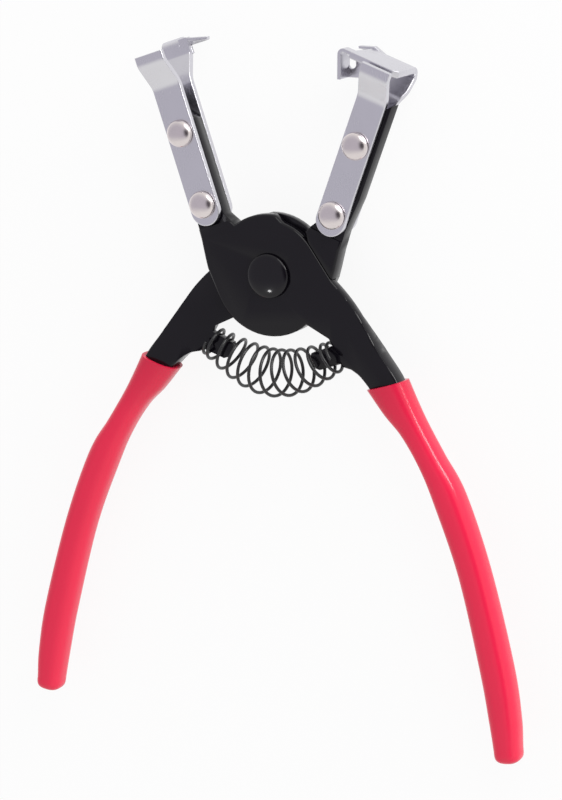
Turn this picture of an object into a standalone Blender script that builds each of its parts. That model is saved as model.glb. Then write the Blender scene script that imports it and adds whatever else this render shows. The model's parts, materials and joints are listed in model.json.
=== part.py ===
"""Hose clamp pliers with two lap-jointed levers and cranked sheet-steel jaws.

Each lever is one forging: an arm, half of the round lap joint, and a handle. The rear lever is
the front one turned over. Two steel plates are riveted to each arm, and the plates spread apart
above it into the jaw heads. A coil spring between the handles holds the jaws open.

+X is to the right, +Y runs from the pivot to the jaws, and +Z runs along the pivot to the domed
side. The origin is the centre of the flat tail of the pivot rivet. All lengths are in metres.
"""

import math

import bmesh
import bpy
from mathutils import Matrix, Vector

# Clearances
SEAT_GAP = 0.0003
RUNNING_GAP = 0.0003
OVERRUN = 0.002
FUSE_STEP = 0.00004
CLEAR_OF_ALL = 0.3

# Lap joint
LEVER_THICKNESS = 0.007
DISC_RADIUS = 0.020
RELIEF_DEPTH = 0.0019
SHOULDER_STEP = 0.0023
RAMP_START_DEG = 39.0
RAMP_END_DEG = 51.0
CLOSING_DEG = 34.0
STOP_PLAY_DEG = 1.0
FORGING_ROUND = 0.0008

# Arms: their axes lean outwards and pass the pivot at a distance
ARM_TILT_DEG = 19.5
ARM_INSET = 0.0055
ARM_WAIST = 0.0012
ARM_FOOT = 0.008
ARM_FLARE = 0.0022
TANG_THICKNESS = 0.0052
TANG_OVERHANG = 0.0012
TANG_MARGIN = 0.0005
TANG_SLANT = 0.0127

# Handles
HANDLE_SPREAD = 0.0848
HANDLE_REACH = 0.1535
LAP_MARGIN = 0.014
STEP_RUN = 0.006
STEP_THICKNESS = 0.0053
FULL_RUN = 0.012
GRIP_WIDTH = 0.0108
GRIP_DEPTH = 0.0107
GRIP_WALL = 0.0016
GRIP_MOUTH_SLANT_DEG = 16.0

# Jaw plates
SHEET = 0.0022
PLATE_WIDTH = 0.0102
PLATE_MARGIN = 0.001
CRANK_MARGIN = 0.0164
CRANK_RUN = 0.0077
FRONT_RISE = 0.0038
HEAD_DEPTH = 0.0206
SHEET_BEND = 0.0022

# Fingers that both back plates point inwards
FINGER_RISE = 0.0010
FINGER_TIP_HEIGHT = 0.0011
FINGER_ROOT_HEIGHT = 0.0033
FINGER_FACE_HEIGHT = 0.0012
LEFT_FINGER_REACH = 0.0081
RIGHT_FINGER_REACH = 0.0098
RIGHT_FINGER_RISE = 0.0022
RIGHT_FINGER_LENGTH = 0.0056

# Left jaw's back plate: a short flange along its top is turned backwards
FLANGE_FLAT = 0.0024
FLANGE_REACH = 0.0026
FLANGE_WIDTH = 0.0070
FLANGE_MARGIN = 0.0003
FLANGE_BEND = 0.0018

# Right jaw's back plate: its top is turned forwards and ends in a hook
TOP_FLAT = 0.0004
TOP_FRONT_Z = 0.006
TOP_BEND = 0.0013
HEAD_FLARE = 0.0017
TOP_FRONT_INSET = 0.0011
HOOK_THICKNESS = 0.0013
HOOK_DEPTH = 0.0039
HOOK_REACH = 0.0106
HOOK_DROP = 0.0097
HOOK_BEND = 0.0013
HOOK_LAP = 0.0026
HOOK_TIP_ROUND = 0.0010
PANEL_THICKNESS = 0.0012
PANEL_DEPTH = 0.0059
PANEL_WIDTH = 0.0086
PANEL_SILL = 0.0029
WINDOW_WIDTH = 0.0025

# Rivets
RIVET_SETBACK = 0.0071
RIVET_PITCH = 0.024
RIVET_SHANK = 0.0050
RIVET_HEAD = 0.0090
RIVET_DOME = 0.0024
RIVET_TAIL_DOME = 0.0011
PIVOT_SHANK = 0.0085
PIVOT_HEAD = 0.0144
PIVOT_DOME = 0.0019
PIVOT_TAIL = 0.0013

# Spring and the lugs that it sits on
WIRE = 0.0011
LUG_SEAT_X = 0.0240
LUG_SEAT_Y = -0.0240
LUG_LENGTH = 0.0089
LUG_RISE = 0.0012
LUG_WIDTH = 0.0062
LUG_CORNER = 0.0010
LUG_SLOPE_DEG = 29.0
SPRING_END_RADIUS = 0.0047
SPRING_MID_RADIUS = 0.0076
SPRING_SAG = 0.0081
SPRING_TURNS = 12
SPRING_DEAD_TURNS = 2
POINTS_PER_TURN = 9
CLOSED_PITCH = 0.0017

# Worked out from the sizes above
LAP_Z = PIVOT_TAIL + SEAT_GAP + LEVER_THICKNESS / 2
TILT = math.radians(ARM_TILT_DEG)
RELIEF_RADIUS = DISC_RADIUS - RELIEF_DEPTH
SHOULDER_REACH = DISC_RADIUS + SHOULDER_STEP
LAP_END_RADIUS = DISC_RADIUS + LAP_MARGIN
STEP_RADIUS = LAP_END_RADIUS + STEP_RUN
FULL_RADIUS = STEP_RADIUS + FULL_RUN
ARM_OFFSET = DISC_RADIUS - ARM_INSET
PLATE_INNER = ARM_OFFSET - PLATE_WIDTH / 2
PLATE_OUTER = ARM_OFFSET + PLATE_WIDTH / 2
TANG_OUTER = PLATE_OUTER + TANG_OVERHANG
PLATE_SEAT_Z = TANG_THICKNESS / 2 + SEAT_GAP
PLATE_FACE_Z = PLATE_SEAT_Z + SHEET
HEAD_FACE_Z = HEAD_DEPTH / 2
HEAD_SEAT_Z = HEAD_FACE_Z - SHEET
PLATE_START = DISC_RADIUS + PLATE_MARGIN
RIVET_LOW = PLATE_START + RIVET_SETBACK
CRANK_START = RIVET_LOW + RIVET_PITCH + CRANK_MARGIN
CRANK_END = CRANK_START + CRANK_RUN
CRANK_ANGLE = math.atan2(HEAD_SEAT_Z - PLATE_SEAT_Z, CRANK_RUN)
HEAD_START = CRANK_END + SHEET_BEND * math.tan(CRANK_ANGLE / 2)
FRONT_PLATE_END = CRANK_END + FRONT_RISE
FLANGE_HEIGHT = HEAD_START + FLANGE_FLAT + FLANGE_BEND + SHEET / 2
TOP_HEIGHT = HEAD_START + TOP_FLAT + TOP_BEND + SHEET / 2
TANG_LONG_END = CRANK_START - TANG_MARGIN
TANG_SHORT_END = TANG_LONG_END - TANG_SLANT

# Handle's centre line from the mouth of the grip to its end, as shares of its spread and reach,
# with the grip's width there as a share of its full width
HANDLE_SHARES = (
    (0.481, 0.210, 1.21),
    (0.533, 0.253, 1.05),
    (0.594, 0.300, 0.82),
    (0.668, 0.365, 0.79),
    (0.744, 0.442, 0.95),
    (0.849, 0.594, 0.94),
    (0.946, 0.793, 0.98),
    (0.984, 0.901, 0.93),
    (0.999, 0.966, 0.82),
)
# Bare stretch of the handle: its outer edge below the shoulder, as shares of the same two sizes, and
# its inner edge, as shares along and across the way from the spring's lug to the mouth of the grip
BARE_OUTER_SHARES = ((0.298, 0.018), (0.340, 0.043), (0.381, 0.073), (0.424, 0.111), (0.465, 0.145))
BARE_INNER_SHARES = ((0.235, 0.10), (0.53, 0.11))

# How finely round forms are stepped, and other plain numbers
CURVE_STEPS = 4
ARC_STEP_DEG = 6.0
RAMP_STEPS = 4
FOOT_STEPS = 12
DOME_STEPS = 5
ROUND_SIDES = 24
PIVOT_SIDES = 32
GRIP_SIDES = 20
GRIP_SQUARENESS = 2.7
GRIP_TIP_SHARES = ((0.45, 0.90), (0.80, 0.62), (1.0, 0.25))
TOP_CUT_SHARES = (0.62, 0.33)
FINGER_TIP_SHARE = 0.8
FLARE_FALL_SHARE = 0.125
GRIP_DEPTH_SHARE = 0.33
BOW_SHARE = 0.75
SPRING_SAMPLES = 400
WAIST_SHARES = ((0.05, 0.2), (0.16, 0.8), (0.27, 1.0), (0.46, 0.1))
DOME_RIM_SHARE = 8
RIM_SLOPE_SHARE = 0.5
SWELL_POWER = 0.8
SPRING_START_DEG = 90.0
NOTCH_DEG = 48.6
ROOT_DEG = 129.0
FULL_TURN_DEG = 360.0
SHARP_DEG = 40.0
MERGE_DISTANCE = 0.000002
FLAT_ANGLE = 0.0001

LOOKS = {
    "black": ((0.022, 0.020, 0.025), 0.42, 0.0),
    "chrome": ((0.70, 0.69, 0.72), 0.30, 0.9),
    "rivet": ((0.74, 0.71, 0.70), 0.22, 0.9),
    "vinyl": ((0.80, 0.045, 0.11), 0.25, 0.0),
    "spring": ((0.030, 0.030, 0.033), 0.40, 0.3),
}


def polar(radius, degrees):
    """Point in plan at a radius and an angle from +X."""
    return radius * math.cos(math.radians(degrees)), radius * math.sin(math.radians(degrees))


def arc(radius, start, end, step=ARC_STEP_DEG):
    """Points round the pivot from one angle to another, both included."""
    count = max(2, math.ceil(abs(end - start) / step))
    return [polar(radius, start + (end - start) * i / count) for i in range(count + 1)]


def on_arm(side, along, across):
    """Point in plan, measured along an arm's axis and across it from the pivot."""
    x = across * math.cos(TILT) + along * math.sin(TILT)
    y = along * math.cos(TILT) - across * math.sin(TILT)
    return side * x, y


def smooth(points, steps=CURVE_STEPS):
    """Points of a Catmull-Rom curve through the given ones."""
    line = [Vector(p) for p in points]
    line = [line[0] * 2 - line[1], *line, line[-1] * 2 - line[-2]]
    found = []
    for a, b, c, d in zip(line, line[1:], line[2:], line[3:]):
        for i in range(steps):
            t = i / steps
            bend = (a * 2 - b * 5 + c * 4 - d) * t * t + (b * 3 - a - c * 3 + d) * t ** 3
            found.append((b * 2 + (c - a) * t + bend) / 2)
    return found + [line[-2]]


def rounded(points, radii, steps=4):
    """A bent line in a plane, with an arc of the given radius at each inner corner."""
    line = [Vector(p) for p in points]
    found = [line[0]]
    for before, corner, after, radius in zip(line, line[1:], line[2:], radii):
        into = (corner - before).normalized()
        out = (after - corner).normalized()
        turn = into.angle_signed(out)
        reach = radius * math.tan(abs(turn) / 2)
        start = corner - into * reach
        side = Vector((-into.y, into.x)) * math.copysign(radius, -turn)
        centre = start + side
        for i in range(steps + 1):
            spoke = Matrix.Rotation(-turn * i / steps, 2) @ (start - centre)
            found.append(centre + spoke)
    return found + [line[-1]]


def band(line, thickness):
    """Outline of a strip of even thickness that follows a line."""
    sides = ([], [])
    last = len(line) - 1
    for i, point in enumerate(line):
        before = (point - line[i - 1]).normalized() if i else None
        after = (line[i + 1] - point).normalized() if i < last else None
        along = ((before or after) + (after or before)).normalized()
        normal = Vector((-along.y, along.x))
        stretch = 1 / normal.dot(Vector((-(after or before).y, (after or before).x)))
        for side, sign in zip(sides, (1, -1)):
            side.append(point + normal * (sign * stretch * thickness / 2))
    return sides[0] + sides[1][::-1]


class Model:
    """The collection, materials and parents that the pieces share."""

    def __init__(self):
        for thing in list(bpy.data.objects):
            bpy.data.objects.remove(thing, do_unlink=True)
        self.parts = bpy.data.collections.new("hose_clamp_pliers")
        bpy.context.scene.collection.children.link(self.parts)
        self.front_half = self.empty("front_half")
        self.rear_half = self.empty("rear_half")

    def empty(self, name):
        """A parent on the pivot's axis, at the middle of the lap joint."""
        empty = bpy.data.objects.new(name, None)
        empty.location = (0, 0, LAP_Z)
        self.parts.objects.link(empty)
        bpy.context.view_layer.update()
        return empty

    def material(self, name, look):
        colour, roughness, metallic = LOOKS[look]
        material = bpy.data.materials.new(name)
        material.use_nodes = True
        shader = material.node_tree.nodes["Principled BSDF"]
        shader.inputs["Base Color"].default_value = (*colour, 1)
        shader.inputs["Roughness"].default_value = roughness
        shader.inputs["Metallic"].default_value = metallic
        material.diffuse_color = (*colour, 1)
        return material

    def keep(self, thing, name, parent, look):
        """Make a finished mesh a named piece of one half."""
        thing.name = name
        thing.data.name = name
        thing.parent = parent
        thing.data.materials.clear()
        thing.data.materials.append(self.material(name, look))
        thing.data.shade_smooth()
        thing.data.set_sharp_from_angle(angle=math.radians(SHARP_DEG))

    def place(self, data, name="blank"):
        thing = bpy.data.objects.new(name, data)
        self.parts.objects.link(thing)
        return thing

    def as_mesh(self, source):
        """Replace a curve, or a mesh with modifiers, by the plain mesh that it shows."""
        bpy.context.view_layer.update()
        evaluated = source.evaluated_get(bpy.context.evaluated_depsgraph_get())
        mesh = bpy.data.meshes.new_from_object(evaluated)
        mesh.transform(source.matrix_world)
        form = bmesh.new()
        form.from_mesh(mesh)
        bmesh.ops.remove_doubles(form, verts=form.verts, dist=MERGE_DISTANCE)
        bmesh.ops.recalc_face_normals(form, faces=form.faces)
        form.to_mesh(mesh)
        form.free()
        bpy.data.objects.remove(source)
        return self.place(mesh)

    def prism(self, outline, low, high, turn=None):
        """A flat outline made solid between two heights, in a frame given by a matrix."""
        curve = bpy.data.curves.new("outline", "CURVE")
        curve.dimensions = "2D"
        curve.fill_mode = "BOTH"
        curve.extrude = (high - low) / 2
        spline = curve.splines.new("POLY")
        spline.points.add(len(outline) - 1)
        for point, place in zip(spline.points, outline):
            point.co = (place[0], place[1], 0, 1)
        spline.use_cyclic_u = True
        solid = self.as_mesh(self.place(curve))
        form = bmesh.new()
        form.from_mesh(solid.data)
        for upper in (True, False):
            cap = [f for f in form.faces if all((v.co.z > 0) == upper for v in f.verts)]
            bmesh.ops.dissolve_faces(form, faces=cap)
        form.transform((turn or Matrix()) @ Matrix.Translation((0, 0, (low + high) / 2)))
        form.to_mesh(solid.data)
        form.free()
        return solid

    def turned(self, profile, sides=ROUND_SIDES):
        """A profile of radii and heights, from the top down, turned round Z."""
        mesh = bpy.data.meshes.new("profile")
        points = [(radius, 0, height) for radius, height in profile]
        mesh.from_pydata(points, [(i, i + 1) for i in range(len(points) - 1)], [])
        thing = self.place(mesh)
        screw = thing.modifiers.new("turn", "SCREW")
        screw.steps = sides
        screw.render_steps = sides
        screw.use_merge_vertices = True
        screw.merge_threshold = MERGE_DISTANCE
        return self.as_mesh(thing)

    def loft(self, sections):
        """A solid through rings of points, closed by a flat face at each end."""
        form = bmesh.new()
        rings = [[form.verts.new(point) for point in section] for section in sections]
        for ring, following in zip(rings, rings[1:]):
            for i, vertex in enumerate(ring):
                form.faces.new((ring[i - 1], vertex, following[i], following[i - 1]))
        form.faces.new(rings[0])
        form.faces.new(rings[-1])
        bmesh.ops.recalc_face_normals(form, faces=form.faces)
        mesh = bpy.data.meshes.new("loft")
        form.to_mesh(mesh)
        form.free()
        return self.place(mesh)

    def combine(self, thing, other, how):
        """Cut, join or intersect two meshes and remove the second."""
        step = thing.modifiers.new(how.lower(), "BOOLEAN")
        step.operation = how
        step.object = other
        step.solver = "EXACT"
        result = self.as_mesh(thing)
        bpy.data.objects.remove(other)
        return result

    def bore(self, thing, centre, radius):
        """Drill a piece right through along Z."""
        drill = self.turned([(0, CLEAR_OF_ALL), (radius, CLEAR_OF_ALL), (radius, -CLEAR_OF_ALL), (0, -CLEAR_OF_ALL)])
        drill.data.transform(Matrix.Translation((*centre, 0)))
        return self.combine(thing, drill, "DIFFERENCE")


def round_rims(thing, radius, segments=2):
    """Round the edges between a prism's flat ends and its sides."""
    form = bmesh.new()
    form.from_mesh(thing.data)
    rims = []
    for edge in form.edges:
        levels = sorted(abs(face.normal.z) for face in edge.link_faces)
        if levels[0] < RIM_SLOPE_SHARE < levels[-1]:
            rims.append(edge)
    bmesh.ops.bevel(
        form,
        geom=rims,
        offset=radius,
        offset_type="OFFSET",
        segments=segments,
        profile=0.5,
        affect="EDGES",
        clamp_overlap=False,
    )
    form.to_mesh(thing.data)
    form.free()


def handle_stations():
    """Stations down the handle: middle, outward direction and half the grip's width."""
    line = smooth(
        [
            (x * HANDLE_SPREAD, -y * HANDLE_REACH, width * GRIP_WIDTH / 2)
            for x, y, width in HANDLE_SHARES
        ]
    )
    stations = []
    for i, place in enumerate(line):
        after = line[min(i + 1, len(line) - 1)]
        before = line[max(i - 1, 0)]
        along = (after - before).to_2d().normalized()
        stations.append((place.to_2d(), Vector((-along.y, along.x)), place.z))
    return stations


def handle_edges(inset):
    """Outer and inner edge of the handle inside its grip, inset from the grip's outside."""
    outer = [middle + outward * (half - inset) for middle, outward, half in handle_stations()]
    inner = [middle - outward * (half - inset) for middle, outward, half in handle_stations()]
    return outer, inner


def lug_frame():
    """Seat of the spring on the front lever, and the directions out of it and down across it."""
    slope = math.radians(LUG_SLOPE_DEG)
    seat = Vector((LUG_SEAT_X, LUG_SEAT_Y))
    out = Vector((-math.cos(slope), -math.sin(slope)))
    return seat, out, Vector((-out.y, out.x))


def lug_outline():
    """Edge of the handle from the lap joint past the spring's lug, going down."""
    seat, out, down = lug_frame()
    half = LUG_WIDTH / 2
    corner = LUG_CORNER
    end = seat + out * LUG_LENGTH - down * LUG_RISE
    return [
        seat - down * (SPRING_END_RADIUS + WIRE),
        seat - down * (half + WIRE / 4),
        end - down * half - out * corner,
        end - down * (half - corner),
        end + down * (half - corner),
        end + down * half - out * corner,
        seat + down * half,
        seat + down * (half + LUG_CORNER),
    ]


def flank_deg():
    """Direction from the pivot that meets the flat flank of the shoulder squarely."""
    return math.degrees(math.acos(RELIEF_RADIUS / SHOULDER_REACH))


def ramp(grow, start):
    """Step in the rim of the lap joint, from its relief out to its full radius."""
    found = []
    for i in range(RAMP_STEPS + 1):
        share = i / RAMP_STEPS
        rise = share * share * (3 - 2 * share)
        radius = RELIEF_RADIUS + (DISC_RADIUS - RELIEF_RADIUS) * rise + grow
        found.append(polar(radius, start + (RAMP_END_DEG - RAMP_START_DEG) * share))
    return found


def lever_outline():
    """Plan of the front lever, anticlockwise from where its arm runs into the lap joint."""
    bare_outer = [(x * HANDLE_SPREAD, -y * HANDLE_REACH) for x, y in BARE_OUTER_SHARES]
    outer, inner = handle_edges(GRIP_WALL)
    lug = lug_outline()
    way = inner[0] - lug[-1]
    bare_inner = [lug[-1] + way * ahead + Vector((-way.y, way.x)) * aside for ahead, aside in BARE_INNER_SHARES]
    lead_in = smooth([*bare_inner, inner[0], inner[CURVE_STEPS]])[:-CURVE_STEPS]
    lead_out = smooth([(SHOULDER_REACH, 0), *bare_outer, outer[0], outer[CURVE_STEPS]])
    foot = on_arm(-1, ARM_FOOT, TANG_OUTER)
    leave = math.degrees(math.atan2(foot[1], foot[0]) + math.acos(DISC_RADIUS / math.hypot(*foot)))
    leave %= FULL_TURN_DEG
    ramp_start = RAMP_START_DEG + CLOSING_DEG + STOP_PLAY_DEG
    ramp_end = RAMP_END_DEG + CLOSING_DEG + STOP_PLAY_DEG
    waist = [(ARM_FOOT + (CRANK_START - ARM_FOOT) * place, dip * ARM_WAIST) for place, dip in WAIST_SHARES]
    return [
        *arc(DISC_RADIUS, leave, FULL_TURN_DEG - NOTCH_DEG),
        *lug,
        *lead_in,
        *inner[1:],
        *outer[:0:-1],
        *lead_out[:-CURVE_STEPS][::-1],
        *arc(RELIEF_RADIUS, flank_deg(), ramp_start)[:-1],
        *ramp(0, ramp_start),
        *arc(DISC_RADIUS, ramp_end, ROOT_DEG)[1:],
        on_arm(-1, PLATE_START - SHEET / 2, PLATE_INNER - ARM_FLARE),
        on_arm(-1, PLATE_START + SHEET, PLATE_INNER),
        on_arm(-1, TANG_SHORT_END, PLATE_INNER),
        on_arm(-1, TANG_LONG_END, TANG_OUTER),
        *[on_arm(-1, along, TANG_OUTER - dip) for along, dip in reversed(waist)],
        foot,
    ]


def recess_outline():
    """Plan of what the rear lever needs of the front one's rear half, with running room."""
    square = math.radians(flank_deg())
    reach = RELIEF_RADIUS + RUNNING_GAP
    touch = Vector(polar(reach, 180 - flank_deg()))
    down_flank = Vector((-math.sin(square), -math.cos(square)))
    mirrored = [(-x, y) for x, y in ramp(RUNNING_GAP, RAMP_START_DEG)]
    return [
        touch + down_flank * CLEAR_OF_ALL,
        (CLEAR_OF_ALL, -CLEAR_OF_ALL),
        (CLEAR_OF_ALL, DISC_RADIUS * 2),
        (0, DISC_RADIUS * 2),
        *arc(DISC_RADIUS + RUNNING_GAP, ROOT_DEG - RAMP_END_DEG / 2, 180 - RAMP_END_DEG)[:-1],
        *mirrored[::-1],
        touch,
    ]


def make_lever(model):
    """The front lever as a solid, with its recess, tang and holes."""
    half = LEVER_THICKNESS / 2
    solid = model.prism(lever_outline(), -half, half)
    round_rims(solid, FORGING_ROUND)
    lap = RUNNING_GAP / 2
    depth = half + OVERRUN
    step = half - STEP_THICKNESS
    recess = model.turned(
        [
            (0, lap),
            (LAP_END_RADIUS, lap),
            (STEP_RADIUS, step),
            (FULL_RADIUS, -half - OVERRUN / 2),
            (FULL_RADIUS, -depth - OVERRUN),
            (0, -depth - OVERRUN),
        ],
        ROUND_SIDES * 2,
    )
    region = model.prism(recess_outline(), -depth, half)
    recess = model.combine(recess, region, "INTERSECT")
    solid = model.combine(solid, recess, "DIFFERENCE")
    low = PLATE_START - SEAT_GAP
    corners = [(low, -CLEAR_OF_ALL), (low, CLEAR_OF_ALL), (CLEAR_OF_ALL, CLEAR_OF_ALL), (CLEAR_OF_ALL, -CLEAR_OF_ALL)]
    above = [on_arm(-1, along, across) for along, across in corners]
    for near, far in ((TANG_THICKNESS / 2, depth), (-depth, -TANG_THICKNESS / 2)):
        solid = model.combine(solid, model.prism(above, near, far), "DIFFERENCE")
    solid = model.bore(solid, (0, 0), PIVOT_SHANK / 2 + RUNNING_GAP)
    for along in (RIVET_LOW, RIVET_LOW + RIVET_PITCH):
        centre = on_arm(-1, along, ARM_OFFSET)
        solid = model.bore(solid, centre, RIVET_SHANK / 2 + SEAT_GAP)
    return solid


def add_levers(model):
    front = make_lever(model)
    rear = model.place(front.data.copy())
    rear.data.transform(Matrix.Rotation(math.pi, 4, "Y"))
    model.keep(front, "front_lever", model.front_half, "black")
    model.keep(rear, "rear_lever", model.rear_half, "black")


def arm_frame(side):
    """Frame whose X runs along an arm and Y towards the front, for profiles seen from its side."""
    along = Vector((side * math.sin(TILT), math.cos(TILT), 0))
    front = Vector((0, 0, 1))
    return Matrix((along, front, along.cross(front))).transposed().to_4x4()


def plate_strip(model, side, line, radii):
    """A bent strip of sheet on one arm, wider than the plate to be cut from it."""
    outline = band(rounded(line, radii), SHEET)
    spans = sorted((side * -PLATE_WIDTH, side * (PLATE_OUTER + PLATE_WIDTH)))
    return model.prism(outline, *spans, arm_frame(side))


def crank(face):
    """Middle line of a plate in side view up to its jaw head, for the front (1) or back (-1)."""
    seat = face * (PLATE_SEAT_Z + SHEET / 2)
    head = face * (HEAD_SEAT_Z + SHEET / 2)
    return [(0, seat), (CRANK_START, seat), (CRANK_END, head)], head


def plate_foot(side):
    """Rounded lower end of a plate in plan, from its inner to its outer edge."""
    middle = PLATE_START + PLATE_WIDTH / 2
    radius = PLATE_WIDTH / 2
    found = []
    for i in range(FOOT_STEPS + 1):
        x, y = polar(radius, 180 + 180 * i / FOOT_STEPS)
        found.append(on_arm(side, middle + y, ARM_OFFSET + x))
    return found


def drill_plate(model, plate, side):
    for along in (RIVET_LOW, RIVET_LOW + RIVET_PITCH):
        centre = on_arm(side, along, ARM_OFFSET)
        plate = model.bore(plate, centre, RIVET_SHANK / 2 + SEAT_GAP)
    return plate


def add_front_plate(model, side, name, parent):
    """A front plate: cranked forwards at the jaw head, and plain."""
    line, head = crank(1)
    strip = plate_strip(model, side, [*line, (FRONT_PLATE_END, head)], (SHEET_BEND, SHEET_BEND))
    top = FRONT_PLATE_END + OVERRUN
    outline = [*plate_foot(side), on_arm(side, top, PLATE_OUTER), on_arm(side, top, PLATE_INNER)]
    plan = model.prism(outline, -HEAD_DEPTH, HEAD_DEPTH)
    plate = model.combine(strip, plan, "INTERSECT")
    plate = drill_plate(model, plate, side)
    model.keep(plate, name, parent, "chrome")


def jaw_corner(height):
    """Inner top corner of the right back plate of a given height, and the left one's mirrored."""
    return Vector(on_arm(1, height, PLATE_INNER))


def finger(model, side, places):
    """Tapered finger at the top of a back plate, bevelled towards the back along its lower side."""
    front = -HEAD_SEAT_Z - FUSE_STEP * 2
    back = -HEAD_FACE_Z + FUSE_STEP * 2
    sections = []
    for x, top, height, face in places:
        sections.append(
            [
                (side * x, top, front),
                (side * x, top - face, front),
                (side * x, top - height, back),
                (side * x, top, back),
            ]
        )
    return model.loft(sections)


def left_finger(model):
    corner = jaw_corner(FLANGE_HEIGHT)
    tip = (corner.x - LEFT_FINGER_REACH, corner.y, FINGER_TIP_HEIGHT, FINGER_TIP_HEIGHT * FINGER_TIP_SHARE)
    root = (corner.x + SHEET / 2, corner.y - FINGER_RISE, FINGER_ROOT_HEIGHT, FINGER_FACE_HEIGHT)
    return finger(model, -1, [root, tip])


def right_finger(model):
    """The right finger, level from its tip to the folded top and then falling into its bend."""
    corner = jaw_corner(TOP_HEIGHT)
    top = corner.y + RIGHT_FINGER_RISE
    tip_x = corner.x - RIGHT_FINGER_REACH
    tip = (tip_x, top, FINGER_TIP_HEIGHT, FINGER_TIP_HEIGHT * FINGER_TIP_SHARE)
    middle = (tip_x + RIGHT_FINGER_LENGTH, top, FINGER_ROOT_HEIGHT, FINGER_FACE_HEIGHT)
    sunk = Vector(on_arm(1, TOP_HEIGHT - SHEET, PLATE_INNER + PLATE_WIDTH / 2))
    root = (sunk.x, sunk.y, FINGER_ROOT_HEIGHT, FINGER_FACE_HEIGHT)
    return finger(model, 1, [root, middle, tip])


def add_left_back_plate(model):
    """The left jaw's back plate, with its rearward flange and its finger."""
    side = -1
    line, head = crank(-1)
    height = FLANGE_HEIGHT - SHEET / 2
    rear = -HEAD_FACE_Z - FLANGE_REACH
    line = [*line, (height, head), (height, rear)]
    strip = plate_strip(model, side, line, (SHEET_BEND, SHEET_BEND, FLANGE_BEND))
    bend = FLANGE_HEIGHT - SHEET - FLANGE_BEND
    outer = PLATE_OUTER - FLANGE_MARGIN
    inner = outer - FLANGE_WIDTH
    corners = [
        (bend, PLATE_OUTER),
        (bend, outer),
        (FLANGE_HEIGHT + OVERRUN, outer),
        (FLANGE_HEIGHT + OVERRUN, inner),
        (bend, inner),
        (bend, PLATE_INNER),
    ]
    outline = [*plate_foot(side), *[on_arm(side, *corner) for corner in corners]]
    plan = model.prism(outline, -HEAD_DEPTH, HEAD_DEPTH)
    plate = model.combine(strip, plan, "INTERSECT")
    plate = model.combine(plate, corner_tab(model, side, inner - FLANGE_MARGIN), "UNION")
    plate = model.combine(plate, left_finger(model), "UNION")
    plate = drill_plate(model, plate, side)
    model.keep(plate, "left_jaw_back", model.front_half, "chrome")


def corner_tab(model, side, outer):
    """Flat top corner of a back plate, from which its finger grows."""
    low = CRANK_END + SHEET / 2
    high = FLANGE_HEIGHT - SHEET / 2
    inner = PLATE_INNER + FUSE_STEP
    corners = [(low, inner), (low, outer), (high, outer), (high, inner)]
    outline = [on_arm(side, *corner) for corner in corners]
    return model.prism(outline, -HEAD_FACE_Z + FUSE_STEP, -HEAD_SEAT_Z - FUSE_STEP)


def add_right_back_plate(model):
    """The right jaw's back plate: folded over the top, with a hook, a panel and a finger."""
    side = 1
    line, head = crank(-1)
    level = TOP_HEIGHT - SHEET / 2
    line = [*line, (level, head), (level, TOP_FRONT_Z)]
    strip = plate_strip(model, side, line, (SHEET_BEND, SHEET_BEND, TOP_BEND))
    flare = PLATE_OUTER + HEAD_FLARE
    neck = CRANK_END + SHEET / 2
    corners = [
        (CRANK_START - SHEET, PLATE_OUTER),
        (CRANK_END - SHEET * 2, flare),
        (CRANK_END, flare - HEAD_FLARE * FLARE_FALL_SHARE),
        (TOP_HEIGHT + OVERRUN, PLATE_OUTER),
        (TOP_HEIGHT + OVERRUN, 0),
        (neck, 0),
        (neck, PLATE_INNER),
    ]
    outline = [*plate_foot(side), *[on_arm(side, *corner) for corner in corners]]
    plan = model.prism(outline, -HEAD_DEPTH, HEAD_DEPTH)
    plate = model.combine(strip, plan, "INTERSECT")
    plate = model.combine(plate, top_cut(model, neck - OVERRUN / 2, 1), "DIFFERENCE")
    plate = model.combine(plate, top_cut(model, neck - OVERRUN / 2, -1), "DIFFERENCE")
    plate = model.combine(plate, hook_arm(model), "UNION")
    plate = model.combine(plate, hook_tab(model), "UNION")
    plate = model.combine(plate, hook_panel(model), "UNION")
    plate = model.combine(plate, right_finger(model), "UNION")
    plate = drill_plate(model, plate, side)
    model.keep(plate, "right_jaw_back", model.rear_half, "chrome")


def top_cut(model, low, edge):
    """Waste beyond the outer (1) or the inner (-1) edge of the right jaw's folded top."""
    far = edge * CLEAR_OF_ALL
    beyond = TOP_FRONT_Z + OVERRUN
    if edge > 0:
        outer = PLATE_OUTER + HEAD_FLARE + PLATE_INNER
        corners = [(outer, -HEAD_SEAT_Z), (PLATE_OUTER - TOP_FRONT_INSET, TOP_FRONT_Z)]
    else:
        corners = [
            (PLATE_INNER * TOP_CUT_SHARES[0], -HEAD_DEPTH),
            (PLATE_INNER * TOP_CUT_SHARES[0], -HOOK_DEPTH),
            (PLATE_INNER * TOP_CUT_SHARES[1], TOP_FRONT_Z - HOOK_DEPTH),
        ]
    corners += [(corners[-1][0], beyond), (far, beyond), (far, corners[0][1])]
    across = Vector((math.cos(TILT), -math.sin(TILT), 0))
    back = Vector((0, 0, -1))
    turn = Matrix((across, back, across.cross(back))).transposed().to_4x4()
    return model.prism([(n, -z) for n, z in corners], low, TOP_HEIGHT + OVERRUN, turn)


def hook_corner():
    """Where the middle lines of the hook's arm and tab meet."""
    x = jaw_corner(TOP_HEIGHT).x - HOOK_REACH + HOOK_THICKNESS / 2
    level = TOP_HEIGHT - HOOK_THICKNESS / 2 - FUSE_STEP
    return Vector((x, (level - x * math.sin(TILT)) / math.cos(TILT)))


def hook_frame():
    """Outer side of the hook's tab, and the level of its tip."""
    corner = hook_corner()
    return corner.x - HOOK_THICKNESS / 2, corner.y - HOOK_DROP


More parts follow.
